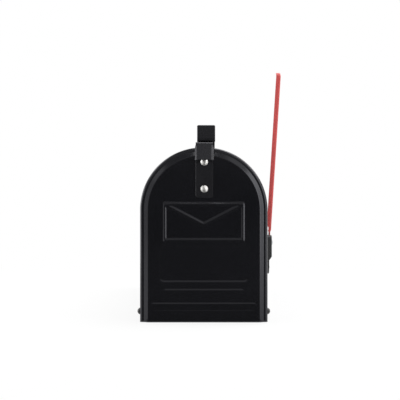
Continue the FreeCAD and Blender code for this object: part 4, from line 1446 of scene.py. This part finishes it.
class MAILBOX_OT_door(bpy.types.Operator):
    """Builds the pressed door with its embossing"""

    bl_idname = "mailbox.door"
    bl_label = "Door"

    def execute(self, context):
        make_door(context.scene.mailbox_sizes, context.scene.mailbox_finish)
        return {"FINISHED"}


class MAILBOX_OT_strap(bpy.types.Operator):
    """Builds the door's strap and finger pull"""

    bl_idname = "mailbox.strap"
    bl_label = "Pull strap"

    def execute(self, context):
        make_strap(context.scene.mailbox_sizes, context.scene.mailbox_finish)
        return {"FINISHED"}


class MAILBOX_OT_catch(bpy.types.Operator):
    """Builds the spring catch on the roof"""

    bl_idname = "mailbox.catch"
    bl_label = "Roof catch"

    def execute(self, context):
        make_catch(context.scene.mailbox_sizes, context.scene.mailbox_finish)
        return {"FINISHED"}


class MAILBOX_OT_flag(bpy.types.Operator):
    """Builds the signal flag"""

    bl_idname = "mailbox.flag"
    bl_label = "Signal flag"

    def execute(self, context):
        make_flag(context.scene.mailbox_sizes, context.scene.mailbox_finish)
        return {"FINISHED"}


class MAILBOX_OT_bracket(bpy.types.Operator):
    """Finishes the moulded bracket of the flag"""

    bl_idname = "mailbox.bracket"
    bl_label = "Flag bracket"

    def execute(self, context):
        coat_node("flag_bracket", "black_plastic", context.scene.mailbox_finish)
        return {"FINISHED"}


class MAILBOX_OT_fasteners(bpy.types.Operator):
    """Sets the rivets, screws, washers and nuts"""

    bl_idname = "mailbox.fasteners"
    bl_label = "Fasteners"

    def execute(self, context):
        scene = context.scene
        for make in (make_hinge, make_catch_rivets, make_strap_screws, make_pivot):
            make(scene.mailbox_sizes, scene.mailbox_fasteners, scene.mailbox_finish)
        return {"FINISHED"}


class MAILBOX_OT_stage(bpy.types.Operator):
    """Sets up the studio and the camera"""

    bl_idname = "mailbox.stage"
    bl_label = "Stage"

    def execute(self, context):
        make_stage(context.scene.mailbox_stage)
        return {"FINISHED"}


OPERATORS = (
    MAILBOX_OT_wrap, MAILBOX_OT_rear, MAILBOX_OT_floor, MAILBOX_OT_door, MAILBOX_OT_strap,
    MAILBOX_OT_catch, MAILBOX_OT_flag, MAILBOX_OT_bracket, MAILBOX_OT_fasteners, MAILBOX_OT_stage,
)


class MAILBOX_PT_panel(bpy.types.Panel):
    """Lists the steps that build the mailbox"""

    bl_idname = "MAILBOX_PT_panel"
    bl_label = "Mailbox"
    bl_space_type = "VIEW_3D"
    bl_region_type = "UI"
    bl_category = "Mailbox"

    def draw(self, context):
        for operator in OPERATORS:
            self.layout.operator(operator.bl_idname)


CLASSES = (
    MailboxSizes, MailboxFasteners, MailboxFinish, MailboxStage, *OPERATORS, MAILBOX_PT_panel,
)


def register():
    for item in CLASSES:
        bpy.utils.register_class(item)
    bpy.types.Scene.mailbox_sizes = PointerProperty(type=MailboxSizes)
    bpy.types.Scene.mailbox_fasteners = PointerProperty(type=MailboxFasteners)
    bpy.types.Scene.mailbox_finish = PointerProperty(type=MailboxFinish)
    bpy.types.Scene.mailbox_stage = PointerProperty(type=MailboxStage)


def unregister():
    del bpy.types.Scene.mailbox_stage
    del bpy.types.Scene.mailbox_finish
    del bpy.types.Scene.mailbox_fasteners
    del bpy.types.Scene.mailbox_sizes
    for item in reversed(CLASSES):
        bpy.utils.unregister_class(item)


def main():
    """Builds everything."""
    register()
    for operator in OPERATORS:
        family, name = operator.bl_idname.split(".")
        getattr(getattr(bpy.ops, family), name)()


if __name__ == "__main__":
    main()
